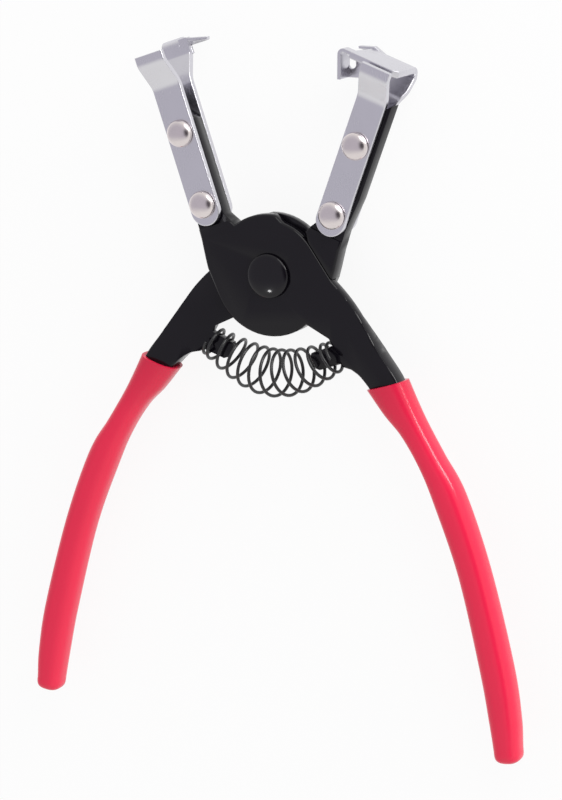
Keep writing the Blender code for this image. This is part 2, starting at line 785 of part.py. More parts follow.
def hook_arm(model):
    """Arm of the hook, from inside the top down into the tab."""
    level = TOP_HEIGHT - HOOK_THICKNESS / 2 - FUSE_STEP
    corner = hook_corner()
    start = on_arm(1, level, PLATE_INNER)
    end = corner - Vector((0, HOOK_BEND + HOOK_LAP))
    outline = band(rounded([start, corner, end], (HOOK_BEND,)), HOOK_THICKNESS)
    return model.prism(outline, TOP_FRONT_Z - HOOK_DEPTH, TOP_FRONT_Z - FUSE_STEP)


def hook_tab(model):
    """Tab that hangs from the hook's arm."""
    outer, low = hook_frame()
    left = outer + FUSE_STEP
    right = left + HOOK_THICKNESS - FUSE_STEP * 2
    top = hook_corner().y - HOOK_BEND - HOOK_LAP / 2
    corner = HOOK_TIP_ROUND
    outline = [(left, top), (left, low + corner), (left + corner, low), (right, low), (right, top)]
    back = TOP_FRONT_Z - PANEL_DEPTH - PANEL_THICKNESS
    return model.prism(outline, back - FUSE_STEP, TOP_FRONT_Z - FUSE_STEP * 2)


def hook_panel(model):
    """Panel behind the hook, with a round-ended window open at its top."""
    outer, tip = hook_frame()
    left = outer + HOOK_THICKNESS / 2
    window = outer + HOOK_THICKNESS
    far = outer + PANEL_WIDTH
    radius = WINDOW_WIDTH / 2
    sill = tip + PANEL_SILL + radius
    roof = (TOP_HEIGHT - SHEET - SEAT_GAP) / math.cos(TILT)
    slope = math.tan(TILT)
    rounding = [
        (window + radius + x, sill + y)
        for x, y in (polar(radius, 180 + 180 * i / FOOT_STEPS) for i in range(FOOT_STEPS + 1))
    ]
    right = window + WINDOW_WIDTH
    outline = [
        (left, tip + FUSE_STEP),
        (far, tip + FUSE_STEP),
        (far, roof - far * slope),
        (right, roof - right * slope),
        *rounding[::-1],
        (window - SEAT_GAP, sill),
        (left, sill),
    ]
    front = TOP_FRONT_Z - PANEL_DEPTH
    return model.prism(outline, front - PANEL_THICKNESS, front)


def dome(radius, height, base, steps):
    """Profile of a domed head from its top down to the rim, above a base level."""
    rim = height / DOME_RIM_SHARE
    found = []
    for i in range(steps + 1):
        angle = math.radians(90 * i / steps)
        found.append((radius * math.sin(angle), base + rim + (height - rim) * math.cos(angle)))
    return found


def add_rivet(model, name, parent, centre, face):
    """A jaw rivet: domed in front, with a low dome behind."""
    shank = RIVET_SHANK / 2
    front = face + SEAT_GAP
    tail = [(radius, -height) for radius, height in dome(RIVET_HEAD / 2, RIVET_TAIL_DOME, front, DOME_STEPS)]
    profile = [*dome(RIVET_HEAD / 2, RIVET_DOME, front, DOME_STEPS), (RIVET_HEAD / 2, front), (shank, front)]
    profile += [(shank, -front), (RIVET_HEAD / 2, -front), *tail[::-1]]
    rivet = model.turned(profile)
    rivet.data.transform(Matrix.Translation((*centre, 0)))
    model.keep(rivet, name, parent, "rivet")


def add_rivets(model):
    halves = (("left", -1, model.front_half), ("right", 1, model.rear_half))
    levels = (("lower", RIVET_LOW), ("upper", RIVET_LOW + RIVET_PITCH))
    for side_name, side, parent in halves:
        for level_name, along in levels:
            centre = on_arm(side, along, ARM_OFFSET)
            add_rivet(model, f"{side_name}_{level_name}_rivet", parent, centre, PLATE_FACE_Z)


def add_pivot(model):
    """The rivet that both levers turn on: a large dome, a shank and a flat tail."""
    half = LEVER_THICKNESS / 2
    front = half + SEAT_GAP
    radius = PIVOT_HEAD / 2
    shank = PIVOT_SHANK / 2
    back = -LAP_Z
    profile = [
        *dome(radius, PIVOT_DOME, front, DOME_STEPS + 2),
        (radius, front),
        (shank, front),
        (shank, -front),
        (radius, -front),
        (radius, back + SEAT_GAP),
        (radius - SEAT_GAP, back),
        (0, back),
    ]
    model.keep(model.turned(profile, PIVOT_SIDES), "pivot_rivet", model.front_half, "black")


def grip_section(middle, outward, half, depth):
    """A squarish oval ring round the handle."""
    ring = []
    for i in range(GRIP_SIDES):
        angle = math.radians(FULL_TURN_DEG * i / GRIP_SIDES)
        across, up = (math.copysign(abs(v) ** (2 / GRIP_SQUARENESS), v) for v in (math.cos(angle), math.sin(angle)))
        place = middle + outward * (half * across)
        ring.append((place.x, place.y, depth * up))
    return ring


def make_grip(model):
    """The right grip: a dipped sleeve with a slanting mouth and a rounded end."""
    stations = handle_stations()
    sections = []
    for i, (middle, outward, half) in enumerate(stations):
        slant = math.radians(GRIP_MOUTH_SLANT_DEG) * max(0, 1 - i / CURVE_STEPS)
        turned = Matrix.Rotation(-slant, 2) @ outward
        depth = GRIP_DEPTH / 2 * (1 + (half / GRIP_WIDTH * 2 - 1) * GRIP_DEPTH_SHARE)
        sections.append(grip_section(middle, turned, half / math.cos(slant), depth))
    middle, outward, half = stations[-1]
    ahead = Vector((outward.y, -outward.x))
    tip = HANDLE_REACH * (1 - HANDLE_SHARES[-1][1])
    for place, size in GRIP_TIP_SHARES:
        centre = middle + ahead * (tip * place)
        sections.append(grip_section(centre, outward, half * size, GRIP_DEPTH / 2 * size))
    grip = model.loft(sections)
    outer, inner = handle_edges(GRIP_WALL - SEAT_GAP)
    back = Vector((-stations[0][1].y, stations[0][1].x)) * GRIP_WIDTH
    end = ahead * SEAT_GAP
    outline = [inner[0] + back, *inner, inner[-1] + end, outer[-1] + end, *outer[::-1], outer[0] + back]
    room = LEVER_THICKNESS / 2 + SEAT_GAP
    return model.combine(grip, model.prism(outline, -room, room), "DIFFERENCE")


def add_grips(model):
    right = make_grip(model)
    left = model.place(right.data.copy())
    left.data.transform(Matrix.Rotation(math.pi, 4, "Y"))
    model.keep(right, "right_grip", model.front_half, "vinyl")
    model.keep(left, "left_grip", model.rear_half, "vinyl")


def spring_axis(share):
    """Point on the spring's bowed axis and its direction, from the left seat to the right."""
    seat, out, _ = lug_frame()
    lift = WIRE / 2 + SEAT_GAP
    end = seat + out * lift
    level = (LEVER_THICKNESS + RUNNING_GAP) / 4
    pull = SPRING_SAG / (BOW_SHARE * -out.y)
    right = Vector((end.x, end.y, level))
    left = Vector((-end.x, end.y, -level))
    before = left + Vector((-out.x, out.y, 0)) * pull
    after = right + Vector((out.x, out.y, 0)) * pull
    t = share
    s = 1 - t
    place = left * s ** 3 + before * (3 * s * s * t) + after * (3 * s * t * t) + right * t ** 3
    along = (before - left) * (s * s) + (after - before) * (2 * s * t) + (right - after) * (t * t)
    return place, along.normalized()


def spring_points():
    """The middle of the spring's wire: closed turns on both lugs and a wide, open middle."""
    fine = SPRING_SAMPLES
    places = [spring_axis(i / fine)[0] for i in range(fine + 1)]
    run = [0]
    for before, after in zip(places, places[1:]):
        run.append(run[-1] + (after - before).length)
    dead = SPRING_DEAD_TURNS / 2
    free_pitch = (run[-1] - 2 * dead * CLOSED_PITCH) / (SPRING_TURNS - 2 * dead)
    points = []
    for i in range(SPRING_TURNS * POINTS_PER_TURN + 1):
        turn = i / POINTS_PER_TURN
        ahead = min(turn, SPRING_TURNS - turn)
        dist = min(ahead, dead) * CLOSED_PITCH + max(ahead - dead, 0) * free_pitch
        length = dist if turn <= SPRING_TURNS / 2 else run[-1] - dist
        at = sum(step <= length for step in run) - 1
        at = min(at, fine - 1)
        share = (at + (length - run[at]) / (run[at + 1] - run[at])) / fine
        place, along = spring_axis(share)
        across = Vector((0, 0, 1)).cross(along).normalized()
        up = along.cross(across)
        swell = math.sin(math.pi * share) ** SWELL_POWER
        radius = SPRING_END_RADIUS + (SPRING_MID_RADIUS - SPRING_END_RADIUS) * swell
        angle = math.radians(FULL_TURN_DEG * turn + SPRING_START_DEG)
        points.append(place + (across * math.cos(angle) + up * math.sin(angle)) * radius)
    return points


def least_gap(points):
    """Least clear distance between turns, measured from each point to far stretches of wire."""
    least = CLEAR_OF_ALL
    apart = POINTS_PER_TURN // 2
    for i, point in enumerate(points):
        for j in range(i + apart, len(points) - 1):
            start = points[j]
            stretch = points[j + 1] - start
            share = (point - start).dot(stretch) / stretch.length_squared
            nearest = start + stretch * min(1, max(0, share))
            least = min(least, (point - nearest).length - WIRE)
    return least


def add_spring(model):
    points = spring_points()
    print("least gap between the spring's turns in mm:", round(least_gap(points) * 1000, 2))
    curve = bpy.data.curves.new("return_spring", "CURVE")
    curve.dimensions = "3D"
    curve.bevel_depth = WIRE / 2
    curve.bevel_resolution = 1
    curve.use_fill_caps = True
    spline = curve.splines.new("POLY")
    spline.points.add(len(points) - 1)
    for point, place in zip(spline.points, points):
        point.co = (*place, 1)
    spring = model.as_mesh(model.place(curve))
    model.keep(spring, "return_spring", model.front_half, "spring")


def build():
    model = Model()
    add_levers(model)
    add_pivot(model)
    add_front_plate(model, -1, "left_jaw_front", model.front_half)
    add_left_back_plate(model)
    add_front_plate(model, 1, "right_jaw_front", model.rear_half)
    add_right_back_plate(model)
    add_rivets(model)
    add_grips(model)
    add_spring(model)


if __name__ == "__main__":
    build()
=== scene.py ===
"""Hose clamp pliers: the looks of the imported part, laid out as a Blender add-on.

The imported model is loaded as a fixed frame. Its +X is to the right jaw, +Y from the pivot to the
jaws, and +Z along the pivot towards the domed side. All lengths are in metres.
"""

import json
import math
from functools import partial

import bmesh
import bpy
import numpy as np
from bpy.props import FloatProperty, FloatVectorProperty, IntProperty, PointerProperty
from bpy.types import Operator, Panel, PropertyGroup
from mathutils import Matrix, Vector


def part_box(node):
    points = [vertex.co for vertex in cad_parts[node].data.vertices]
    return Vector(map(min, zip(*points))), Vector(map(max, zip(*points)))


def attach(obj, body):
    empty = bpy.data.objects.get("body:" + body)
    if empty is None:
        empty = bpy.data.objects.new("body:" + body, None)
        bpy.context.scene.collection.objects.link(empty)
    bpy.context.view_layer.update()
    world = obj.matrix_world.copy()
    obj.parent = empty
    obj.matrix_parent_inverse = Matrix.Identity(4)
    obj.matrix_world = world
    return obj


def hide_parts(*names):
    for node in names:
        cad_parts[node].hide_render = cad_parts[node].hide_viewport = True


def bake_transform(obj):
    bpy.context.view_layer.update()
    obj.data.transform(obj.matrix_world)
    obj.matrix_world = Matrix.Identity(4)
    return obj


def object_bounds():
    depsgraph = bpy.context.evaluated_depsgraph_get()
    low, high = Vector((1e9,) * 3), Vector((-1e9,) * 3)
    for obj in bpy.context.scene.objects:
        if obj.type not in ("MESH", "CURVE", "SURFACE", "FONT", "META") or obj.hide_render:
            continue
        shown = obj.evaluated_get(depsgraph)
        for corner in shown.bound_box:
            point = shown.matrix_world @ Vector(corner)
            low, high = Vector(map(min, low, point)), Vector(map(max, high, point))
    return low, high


bl_info = {
    "name": "Hose Clamp Pliers",
    "version": (1, 0, 0),
    "blender": (4, 5, 0),
    "location": "3D Viewport > Sidebar > Pliers",
    "description": "Dresses the packed hose clamp pliers with finished pieces and materials",
    "category": "Object",
}

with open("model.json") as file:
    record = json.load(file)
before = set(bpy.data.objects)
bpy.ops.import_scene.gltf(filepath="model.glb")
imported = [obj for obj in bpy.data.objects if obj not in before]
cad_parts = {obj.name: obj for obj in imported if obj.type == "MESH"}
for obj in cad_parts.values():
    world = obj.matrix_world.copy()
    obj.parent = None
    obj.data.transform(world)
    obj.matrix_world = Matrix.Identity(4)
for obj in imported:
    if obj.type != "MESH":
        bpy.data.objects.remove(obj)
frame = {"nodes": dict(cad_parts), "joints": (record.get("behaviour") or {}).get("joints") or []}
CAD_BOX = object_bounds()

# Places read from the frame
LAP_Z = frame["joints"][0]["pos_m"][2]
FRONT_BODY = "front_half"
REAR_BODY = "rear_half"
LEVER_HALF = LAP_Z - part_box("front_lever")[0].z
PIVOT_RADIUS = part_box("pivot_rivet")[1].x

# Photograph's camera
CAMERA_TURN_DEG = 26.0
CAMERA_RISE_DEG = 13.0
CAMERA_ROLL_DEG = 0.1758
CAMERA_DISTANCE = 1.00137
CAMERA_RIGHT = 0.00244
CAMERA_UP = -0.04064
CAMERA_LENS_MM = 139.66
CAMERA_FAR = 20.0
SENSOR_MM = 36.0

# Lamps: name, direction from the origin, distance, diameter and power in watts. The last one lights
# the pivot alone.
LAMPS = (
    ("key", (0.51, 0.72, 0.44), 1.2, 0.9, 4.5),
    ("rim", (0.83, 0.52, 0.14), 1.2, 0.4, 4.5),
    ("glint", (-0.345, -0.49, 0.80), 1.0, 0.09, 0.6),
)

# Surroundings, as the pieces mirror them. A place is a direction, the cosine to it from which its
# tone starts, and how much more brings the full tone. The front's foot is where, on Y, it fades in.
WHITE = (1.0, 1.0, 1.0, 1.0)
SIDES_TONE = (0.95, 0.95, 0.92, 1.0)
FRONT_TONE = (0.60, 0.585, 0.64, 1.0)
FRONT_PLACE = ((-0.43, -0.22, 0.88), 0.20, 0.60)
FRONT_FOOT = (-0.6, 0.35)
LENS_TONE = (0.06, 0.05, 0.06, 1.0)
LENS_PLACE = ((0.47, 0.05, 0.88), 0.90, 0.08)

# Floor
FLOOR_HALF = 4.0
FLOOR_GAP = 0.0006
FLOOR_TONE = (0.95, 0.95, 0.95, 1.0)
FLOOR_GLOW = 0.9

# Finishes: a tone is a share of the piece's own colour, a share says how much of it shows, and the
# roughness and bump of a pattern add to those of the finish. The mouth of the vinyl is where, on Y,
# it starts to darken, and over what length.
PAINT_SPECULAR = 0.08
PAINT_COAT = 0.38
PIVOT_COAT = 0.45
COAT_ROUGHNESS = 0.05
PAINT_ROUGHNESS = 0.17
PATCH_TONE = 1.3
PATCH_ROUGHNESS = 0.08
DUST_TONE = 6.0
DUST_SHARE = 0.25
DUST_ROUGHNESS = 0.2
CHROME_GRAIN = (5000.0, 200.0, 2500.0)
CHROME_ROUGHNESS = 0.21
CLOUD_TONE = 0.92
CLOUD_ROUGHNESS = 0.07
CLOUD_BUMP = 0.6
ROLLED_ROUGHNESS = 0.04
ROLLED_BUMP = 0.4
SPECK_TONE = 0.6
SPECK_SHARE = 0.35
DOME_ROUGHNESS = 0.17
MARK_TONE = 0.92
MARK_ROUGHNESS = 0.07
VINYL_SPECULAR = 0.40
VINYL_ROUGHNESS = 0.15
VINYL_MOUTH_TONE = 0.80
VINYL_MOUTH = (-0.052, 0.020)
WAVE_TONE = 0.95
WAVE_ROUGHNESS = 0.06
WAVE_BUMP = 0.8
GRAIN_ROUGHNESS = 0.03
GRAIN_BUMP = 0.05
WIRE_SPECULAR = 0.5
WIRE_ROUGHNESS = 0.24
DRAWN_TONE = 1.6
DRAWN_ROUGHNESS = 0.12

# Handle's middle line from the mouth of the grip to its end, as shares of the handle's spread and
# reach, with the grip's width there as a share of its full width
HANDLE_SHARES = (
    (0.481, 0.210, 1.21),
    (0.533, 0.253, 1.05),
    (0.594, 0.300, 0.82),
    (0.668, 0.365, 0.79),
    (0.744, 0.442, 0.95),
    (0.849, 0.594, 0.94),
    (0.946, 0.793, 0.98),
    (0.984, 0.901, 0.93),
    (0.999, 0.966, 0.82),
)
HANDLE_SPREAD = 0.0848
HANDLE_REACH = 0.1535
GRIP_WIDTH = 0.0108
GRIP_DEPTH = 0.0107
GRIP_STEPS = 10
GRIP_SIDES = 72
GRIP_DEPTH_LAG = 3
MOUTH_SLANT_DEG = 16.0
MOUTH_STEP = 0.12

# Rings that lead into the grip's mouth: their share of its first ring, and how far inwards they
# lie, in steps between its rings
GRIP_LIPS = ((0.55, 1.2), (0.80, 0.05), (0.93, -0.05))

# Closed end of the grip: its length as a share of what the handle has left, the angle and number of
# its rows, and the power of its rounding, which stops short of a point
TIP_SHARE = 0.86
TIP_START_DEG = 6.0
TIP_ROWS = 14
TIP_POWER = 4
TIP_SHORT = 0.999
TIP_LEAST = 0.0008

# Meshing
CLOSE = 1e-7
CAD_CLOSE = 4e-6
QUARTER_ROWS = 5
FACE_COLUMNS = 5
EDGE_BAND = 1.5
FOOT_ROWS = 19

# Jaw plates, measured along an arm from the pivot, across it, and in height from the lap joint
ARM_TILT_DEG = 19.5
SHEET = 0.0022
PLATE_INNER = 0.0094
PLATE_OUTER = 0.0196
PLATE_START = 0.0210
PLATE_SEAT = 0.0029
HEAD_SEAT = 0.0081
CRANK_START = 0.0685
CRANK_END = 0.0762
FRONT_END = 0.0793
CRANK_BENDS = (0.0060, 0.0030)
FLANGE_LEVEL = 0.08107
FLANGE_BEND = 0.0018
FLANGE_REAR = 0.0129
FLANGE_INNER = 0.0123
FLANGE_OUTER = 0.0193
TOP_LEVEL = 0.07857
TOP_BEND = 0.0013
TOP_FRONT = 0.0060
HEAD_FLARE = 0.0017
HOOK_SHEET = 0.0013
HOOK_DEPTH = 0.0039
HOOK_REACH = 0.0106
HOOK_DROP = 0.0097
HOOK_BEND = 0.0013
HOOK_STEP = 0.0003
HOOK_EDGE_SHARE = 0.7
PANEL_DEPTH = 0.0059
PANEL_SHEET = 0.0012
PANEL_WIDTH = 0.0086
PANEL_SILL = 0.0029
WINDOW_WIDTH = 0.0025
WINDOW_ROWS = 17
HAIR = 0.00004
SLIT = 0.0002
SEAT_GAP = 0.0003
FLARE_START = 0.0663
FLARE_FULL = 0.0718
FLARE_CRANK_SHARE = 0.875
TOP_NECK = 0.0773
TOP_INNER_BACK = 0.0040
TOP_INNER_FRONT = 0.0031
TOP_FOLD_SHARE = 2.54
TOP_CORNER_HEIGHT = 0.00473
TOP_CORNER_OUTER = 0.0185
FINGER_RISE = 0.0010
FINGER_TIP = (0.0011, 0.00088)
FINGER_ROOT = (0.0033, 0.0012)
FINGER_EDGE = 0.00025
LEFT_FINGER_REACH = 0.0081
RIGHT_FINGER_REACH = 0.0098
RIGHT_FINGER_RISE = 0.0022
RIGHT_FINGER_LENGTH = 0.0056

# Rivets
RIVET_RIM = 0.0003
TAIL_RIM = 0.00014
RIVET_SHANK_SHARE = 0.55
PIVOT_GAP = 0.0003
PIVOT_RIM = 0.0004
PIVOT_TAIL_RIM = 0.0003
PIVOT_SHANK_SHARE = 0.59
PIVOT_ROWS = 20
RIM_WAIST = 0.5
RIM_UNDERCUT = 0.4

# Return spring
SPRING_SEAT = (0.0240, -0.0240)
SPRING_SLOPE_DEG = 29.0
SPRING_LIFT = 0.00085
SPRING_LEVEL = 0.001825
SPRING_SAG = 0.0081
SPRING_END_RADIUS = 0.0047
SPRING_MID_RADIUS = 0.0076
SPRING_TURNS = 12
SPRING_DEAD_TURNS = 1
SPRING_CLOSED_PITCH = 0.0017
SPRING_START_DEG = 90.0
BOW_SHARE = 0.75
SWELL_POWER = 0.8
CURVE_POINTS = 4001
WIRE_END_ROWS = 5
WIRE_END_DEG = 10.0

# Sockets of the Mix node for colours, and of the Light Path node
MIX_INPUTS = (0, 6, 7)
MIX_OUTPUT = 2
CAMERA_RAY = 0
GLOSSY_RAY = 3
TRANSMISSION_RAY = 6


class Socket:
    """A shader socket that Python's operators turn into Math nodes."""

    def __init__(self, tree, socket):
        self.tree = tree
        self.socket = socket

    def math(self, operation, *values):
        return self.tree.add("Math", {"operation": operation}, *values)[0]

    def __add__(self, other):
        return self.math("ADD", self, other)

    __radd__ = __add__

    def __mul__(self, other):
        return self.math("MULTIPLY", self, other)

    __rmul__ = __mul__

    def __sub__(self, other):
        return self.math("SUBTRACT", self, other)

    def __rsub__(self, other):
        return self.math("SUBTRACT", other, self)

    def __truediv__(self, other):
        return self.math("DIVIDE", self, other)

    def clamped(self):
        return self.math("MINIMUM", self.math("MAXIMUM", self, 0.0), 1.0)

    def over(self, edge, width):
        """Rises from 0 at the edge to 1 a width beyond it."""
        return ((self - edge) / width).clamped()


class Nodes:
    """A node tree with one method that adds any node."""

    def __init__(self, tree):
        self.tree = tree
        tree.nodes.clear()

    def add(self, kind, settings=None, *values, **named):
        node = self.tree.nodes.new("ShaderNode" + kind)
        for key, value in (settings or {}).items():
            setattr(node, key, value)
        for index, value in enumerate(values):
            self.feed(node.inputs[index], value)
        for key, value in named.items():
            self.feed(node.inputs[key], value)
        return [Socket(self, output) for output in node.outputs if output.enabled]

    def feed(self, target, value):
        if isinstance(value, Socket):
            self.tree.links.new(value.socket, target)
        elif value is not None:
            target.default_value = value

    def mixed(self, share, first, second):
        """A colour between two others."""
        node = self.tree.nodes.new("ShaderNodeMix")
        node.data_type = "RGBA"
        for index, value in zip(MIX_INPUTS, (share, first, second)):
            self.feed(node.inputs[index], value)
        return Socket(self, node.outputs[MIX_OUTPUT])

    def place(self):
        """Object coordinates."""
        return self.add("TexCoord")[3]

    def noise(self, where, scale, detail=3.0, roughness=0.5):
        """Noise from 0 to 1, with a scale in bumps a metre."""
        return self.add("TexNoise", None, where, Scale=scale, Detail=detail, Roughness=roughness)[0]

    def stretched(self, where, scale, turn_deg):
        """Coordinates turned about Z and scaled along each axis."""
        turn = (0.0, 0.0, math.radians(turn_deg))
        return self.add("Mapping", None, where, Rotation=turn, Scale=scale)[0]

    def bump(self, height, depth, strength):
        """A normal from a height of 0 to 1 that stands for a depth in metres."""
        return self.add("Bump", None, Height=height, Distance=depth, Strength=strength)[0]


def principled(name, build):
    """A material whose Principled shader takes what the build function returns."""
    material = bpy.data.materials.new(name)
    material.use_nodes = True
    nodes = Nodes(material.node_tree)
    output = nodes.tree.nodes.new("ShaderNodeOutputMaterial")
    shader = nodes.tree.nodes.new("ShaderNodeBsdfPrincipled")
    nodes.tree.links.new(shader.outputs[0], output.inputs[0])
    for key, value in build(nodes).items():
        nodes.feed(shader.inputs[key], value)
    return material


def rgba(colour):
    return (colour[0], colour[1], colour[2], 1.0)


def scaled(colour, share):
    return tuple(min(1.0, part * share) for part in colour[:3]) + (1.0,)


def black_finish(name, colours, coat=PAINT_COAT):
    """Satin black paint on a forging: a faint orange peel, dull patches and a little dust."""

    def build(n):
        where = n.place()
        peel = n.noise(where, scale=700.0, roughness=0.55)
        patches = n.noise(where, scale=60.0)
        dust = n.noise(where, scale=2600.0, detail=2.0).over(edge=0.76, width=0.05)
        tone = n.mixed(patches, rgba(colours.black), scaled(colours.black, PATCH_TONE))
        return {
            "Base Color": n.mixed(dust * DUST_SHARE, tone, scaled(colours.black, DUST_TONE)),
            "Roughness": PAINT_ROUGHNESS + patches * PATCH_ROUGHNESS + dust * DUST_ROUGHNESS,
            "Specular IOR Level": PAINT_SPECULAR,
            "Coat Weight": coat,
            "Coat Roughness": COAT_ROUGHNESS,
            "Normal": n.bump(peel, depth=0.00003, strength=0.25),
        }

    return principled(name, build)


def chrome_finish(name, colours, along_deg):
    """Satin chrome on rolled sheet: faint lines along the arm, soft clouding and a few specks."""

    def build(n):
        where = n.place()
        grain = n.stretched(where, CHROME_GRAIN, along_deg)
        rolled = n.noise(grain, scale=1.0, detail=2.0)
        clouds = n.noise(where, scale=110.0, detail=2.0)
        specks = n.noise(where, scale=1300.0, detail=2.0).over(edge=0.72, width=0.04)
        tone = n.mixed(clouds, rgba(colours.chrome), scaled(colours.chrome, CLOUD_TONE))
        relief = rolled * ROLLED_BUMP + clouds * CLOUD_BUMP
        return {
            "Base Color": n.mixed(specks * SPECK_SHARE, tone, scaled(colours.chrome, SPECK_TONE)),
            "Metallic": 1.0,
            "Roughness": CHROME_ROUGHNESS + clouds * CLOUD_ROUGHNESS + rolled * ROLLED_ROUGHNESS,
            "Normal": n.bump(relief, depth=0.00002, strength=0.25),
        }

    return principled(name, build)


def dome_finish(name, colours):
    """Polished steel of the rivet heads, with a trace of the setting tool."""

    def build(n):
        where = n.place()
        marks = n.noise(where, scale=600.0)
        return {
            "Base Color": n.mixed(marks, rgba(colours.rivet), scaled(colours.rivet, MARK_TONE)),
            "Metallic": 1.0,
            "Roughness": DOME_ROUGHNESS + marks * MARK_ROUGHNESS,
            "Normal": n.bump(marks, depth=0.00003, strength=0.3),
        }

    return principled(name, build)


def vinyl_finish(name, colours):
    """Dipped vinyl: glossy, slightly wavy, and deeper in tone towards the mouth."""

    def build(n):
        where = n.place()
        waves = n.noise(where, scale=80.0, detail=2.0)
        grain = n.noise(where, scale=1400.0, detail=2.0)
        near_mouth = n.add("SeparateXYZ", None, where)[1].over(*VINYL_MOUTH)
        tone = n.mixed(waves, rgba(colours.vinyl), scaled(colours.vinyl, WAVE_TONE))
        relief = waves * WAVE_BUMP + grain * GRAIN_BUMP
        return {
            "Base Color": n.mixed(near_mouth, tone, scaled(colours.vinyl, VINYL_MOUTH_TONE)),
            "Roughness": VINYL_ROUGHNESS + waves * WAVE_ROUGHNESS + grain * GRAIN_ROUGHNESS,
            "Specular IOR Level": VINYL_SPECULAR,
            "Normal": n.bump(relief, depth=0.00010, strength=0.3),
        }

    return principled(name, build)


def wire_finish(name, colours):
    """Blackened spring wire, with drawing lines."""

    def build(n):
        where = n.place()
        drawn = n.noise(where, scale=2200.0)
        return {
            "Base Color": n.mixed(drawn, rgba(colours.wire), scaled(colours.wire, DRAWN_TONE)),
            "Roughness": WIRE_ROUGHNESS + drawn * DRAWN_ROUGHNESS,
            "Specular IOR Level": WIRE_SPECULAR,
            "Normal": n.bump(drawn, depth=0.00001, strength=0.3),
        }

    return principled(name, build)


def mesh_piece(name, vertices, faces, material, sharp_deg=40.0):
    """A closed mesh at the origin: its doubles are merged and its faces turned outwards."""
    mesh = bpy.data.meshes.new(name)
    mesh.from_pydata(vertices, [], faces)
    form = bmesh.new()
    form.from_mesh(mesh)
    bmesh.ops.remove_doubles(form, verts=form.verts, dist=CLOSE)
    bmesh.ops.recalc_face_normals(form, faces=form.faces)
    form.to_mesh(mesh)
    form.free()
    thing = bpy.data.objects.new(name, mesh)
    bpy.context.scene.collection.objects.link(thing)
    mesh.materials.append(material)
    mesh.shade_smooth()
    mesh.set_sharp_from_angle(angle=math.radians(sharp_deg))
    return thing


def grid_faces(rows, columns, capped=True):
    """Quads of a grid whose columns close on themselves, with caps on its last and first rows."""
    row, column = np.meshgrid(np.arange(rows - 1), np.arange(columns), indexing="ij")
    after = (column + 1) % columns
    start = row * columns
    over = start + columns
    quads = np.stack([start + column, start + after, over + after, over + column], -1)
    first = np.arange(columns)[::-1].tolist()
    last = (np.arange(columns) + (rows - 1) * columns).tolist()
    return [*quads.reshape(-1, 4).tolist(), last, *([first] if capped else [])]


def grid_piece(name, grid, material, sharp_deg=40.0):
    """A closed surface from a grid of points: rows along the piece and columns around it."""
    faces = grid_faces(*grid.shape[:2])
    return mesh_piece(name, grid.reshape(-1, 3).tolist(), faces, material, sharp_deg)


def joined(name, solids, material, sharp_deg):
    """One object from several closed solids, each a list of points and a list of faces."""
    points, faces = [], []
    for own_points, own_faces in solids:
        start = len(points)
        points += [tuple(point) for point in own_points]
        faces += [[start + i for i in face] for face in own_faces]
    return mesh_piece(name, points, faces, material, sharp_deg)


def smooth_line(points, steps):
    """Catmull-Rom curve through rows of numbers: a cubic in t between each two of them."""
    line = np.asarray(points, float)
    line = np.vstack([2 * line[0] - line[1], line, 2 * line[-1] - line[-2]])
    a, b, c, d = line[:-3], line[1:-2], line[2:-1], line[3:]
    t = (np.arange(steps) / steps)[None, :, None]
    a, b, c, d = (part[:, None, :] for part in (a, b, c, d))
    square, cube = 2 * a - 5 * b + 4 * c - d, 3 * b - a - 3 * c + d
    curve = 0.5 * (2 * b + (c - a) * t + square * t**2 + cube * t**3)
    return np.vstack([curve.reshape(-1, line.shape[1]), line[-2]])


def turned(profile, centre, sides):
    """Lathe surface: a profile point's radius times the angle's cosine and sine, at its height."""
    profile = np.asarray(profile, float)
    angle = np.linspace(0, 2 * math.pi, sides, endpoint=False)
    radius = profile[:, :1]
    height = np.repeat(profile[:, 1:], sides, axis=1)
    x, y = centre[0] + radius * np.cos(angle), centre[1] + radius * np.sin(angle)
    return np.stack([x, y, height], -1)


def on_arm(side, along, height, across):
    """World points from places along an arm, in height and across it: a turn by the arm's tilt."""
    tilt = math.radians(ARM_TILT_DEG)
    x = across * math.cos(tilt) + along * math.sin(tilt)
    y = along * math.cos(tilt) - across * math.sin(tilt)
    return np.stack([side * x, y, LAP_Z + height], -1)


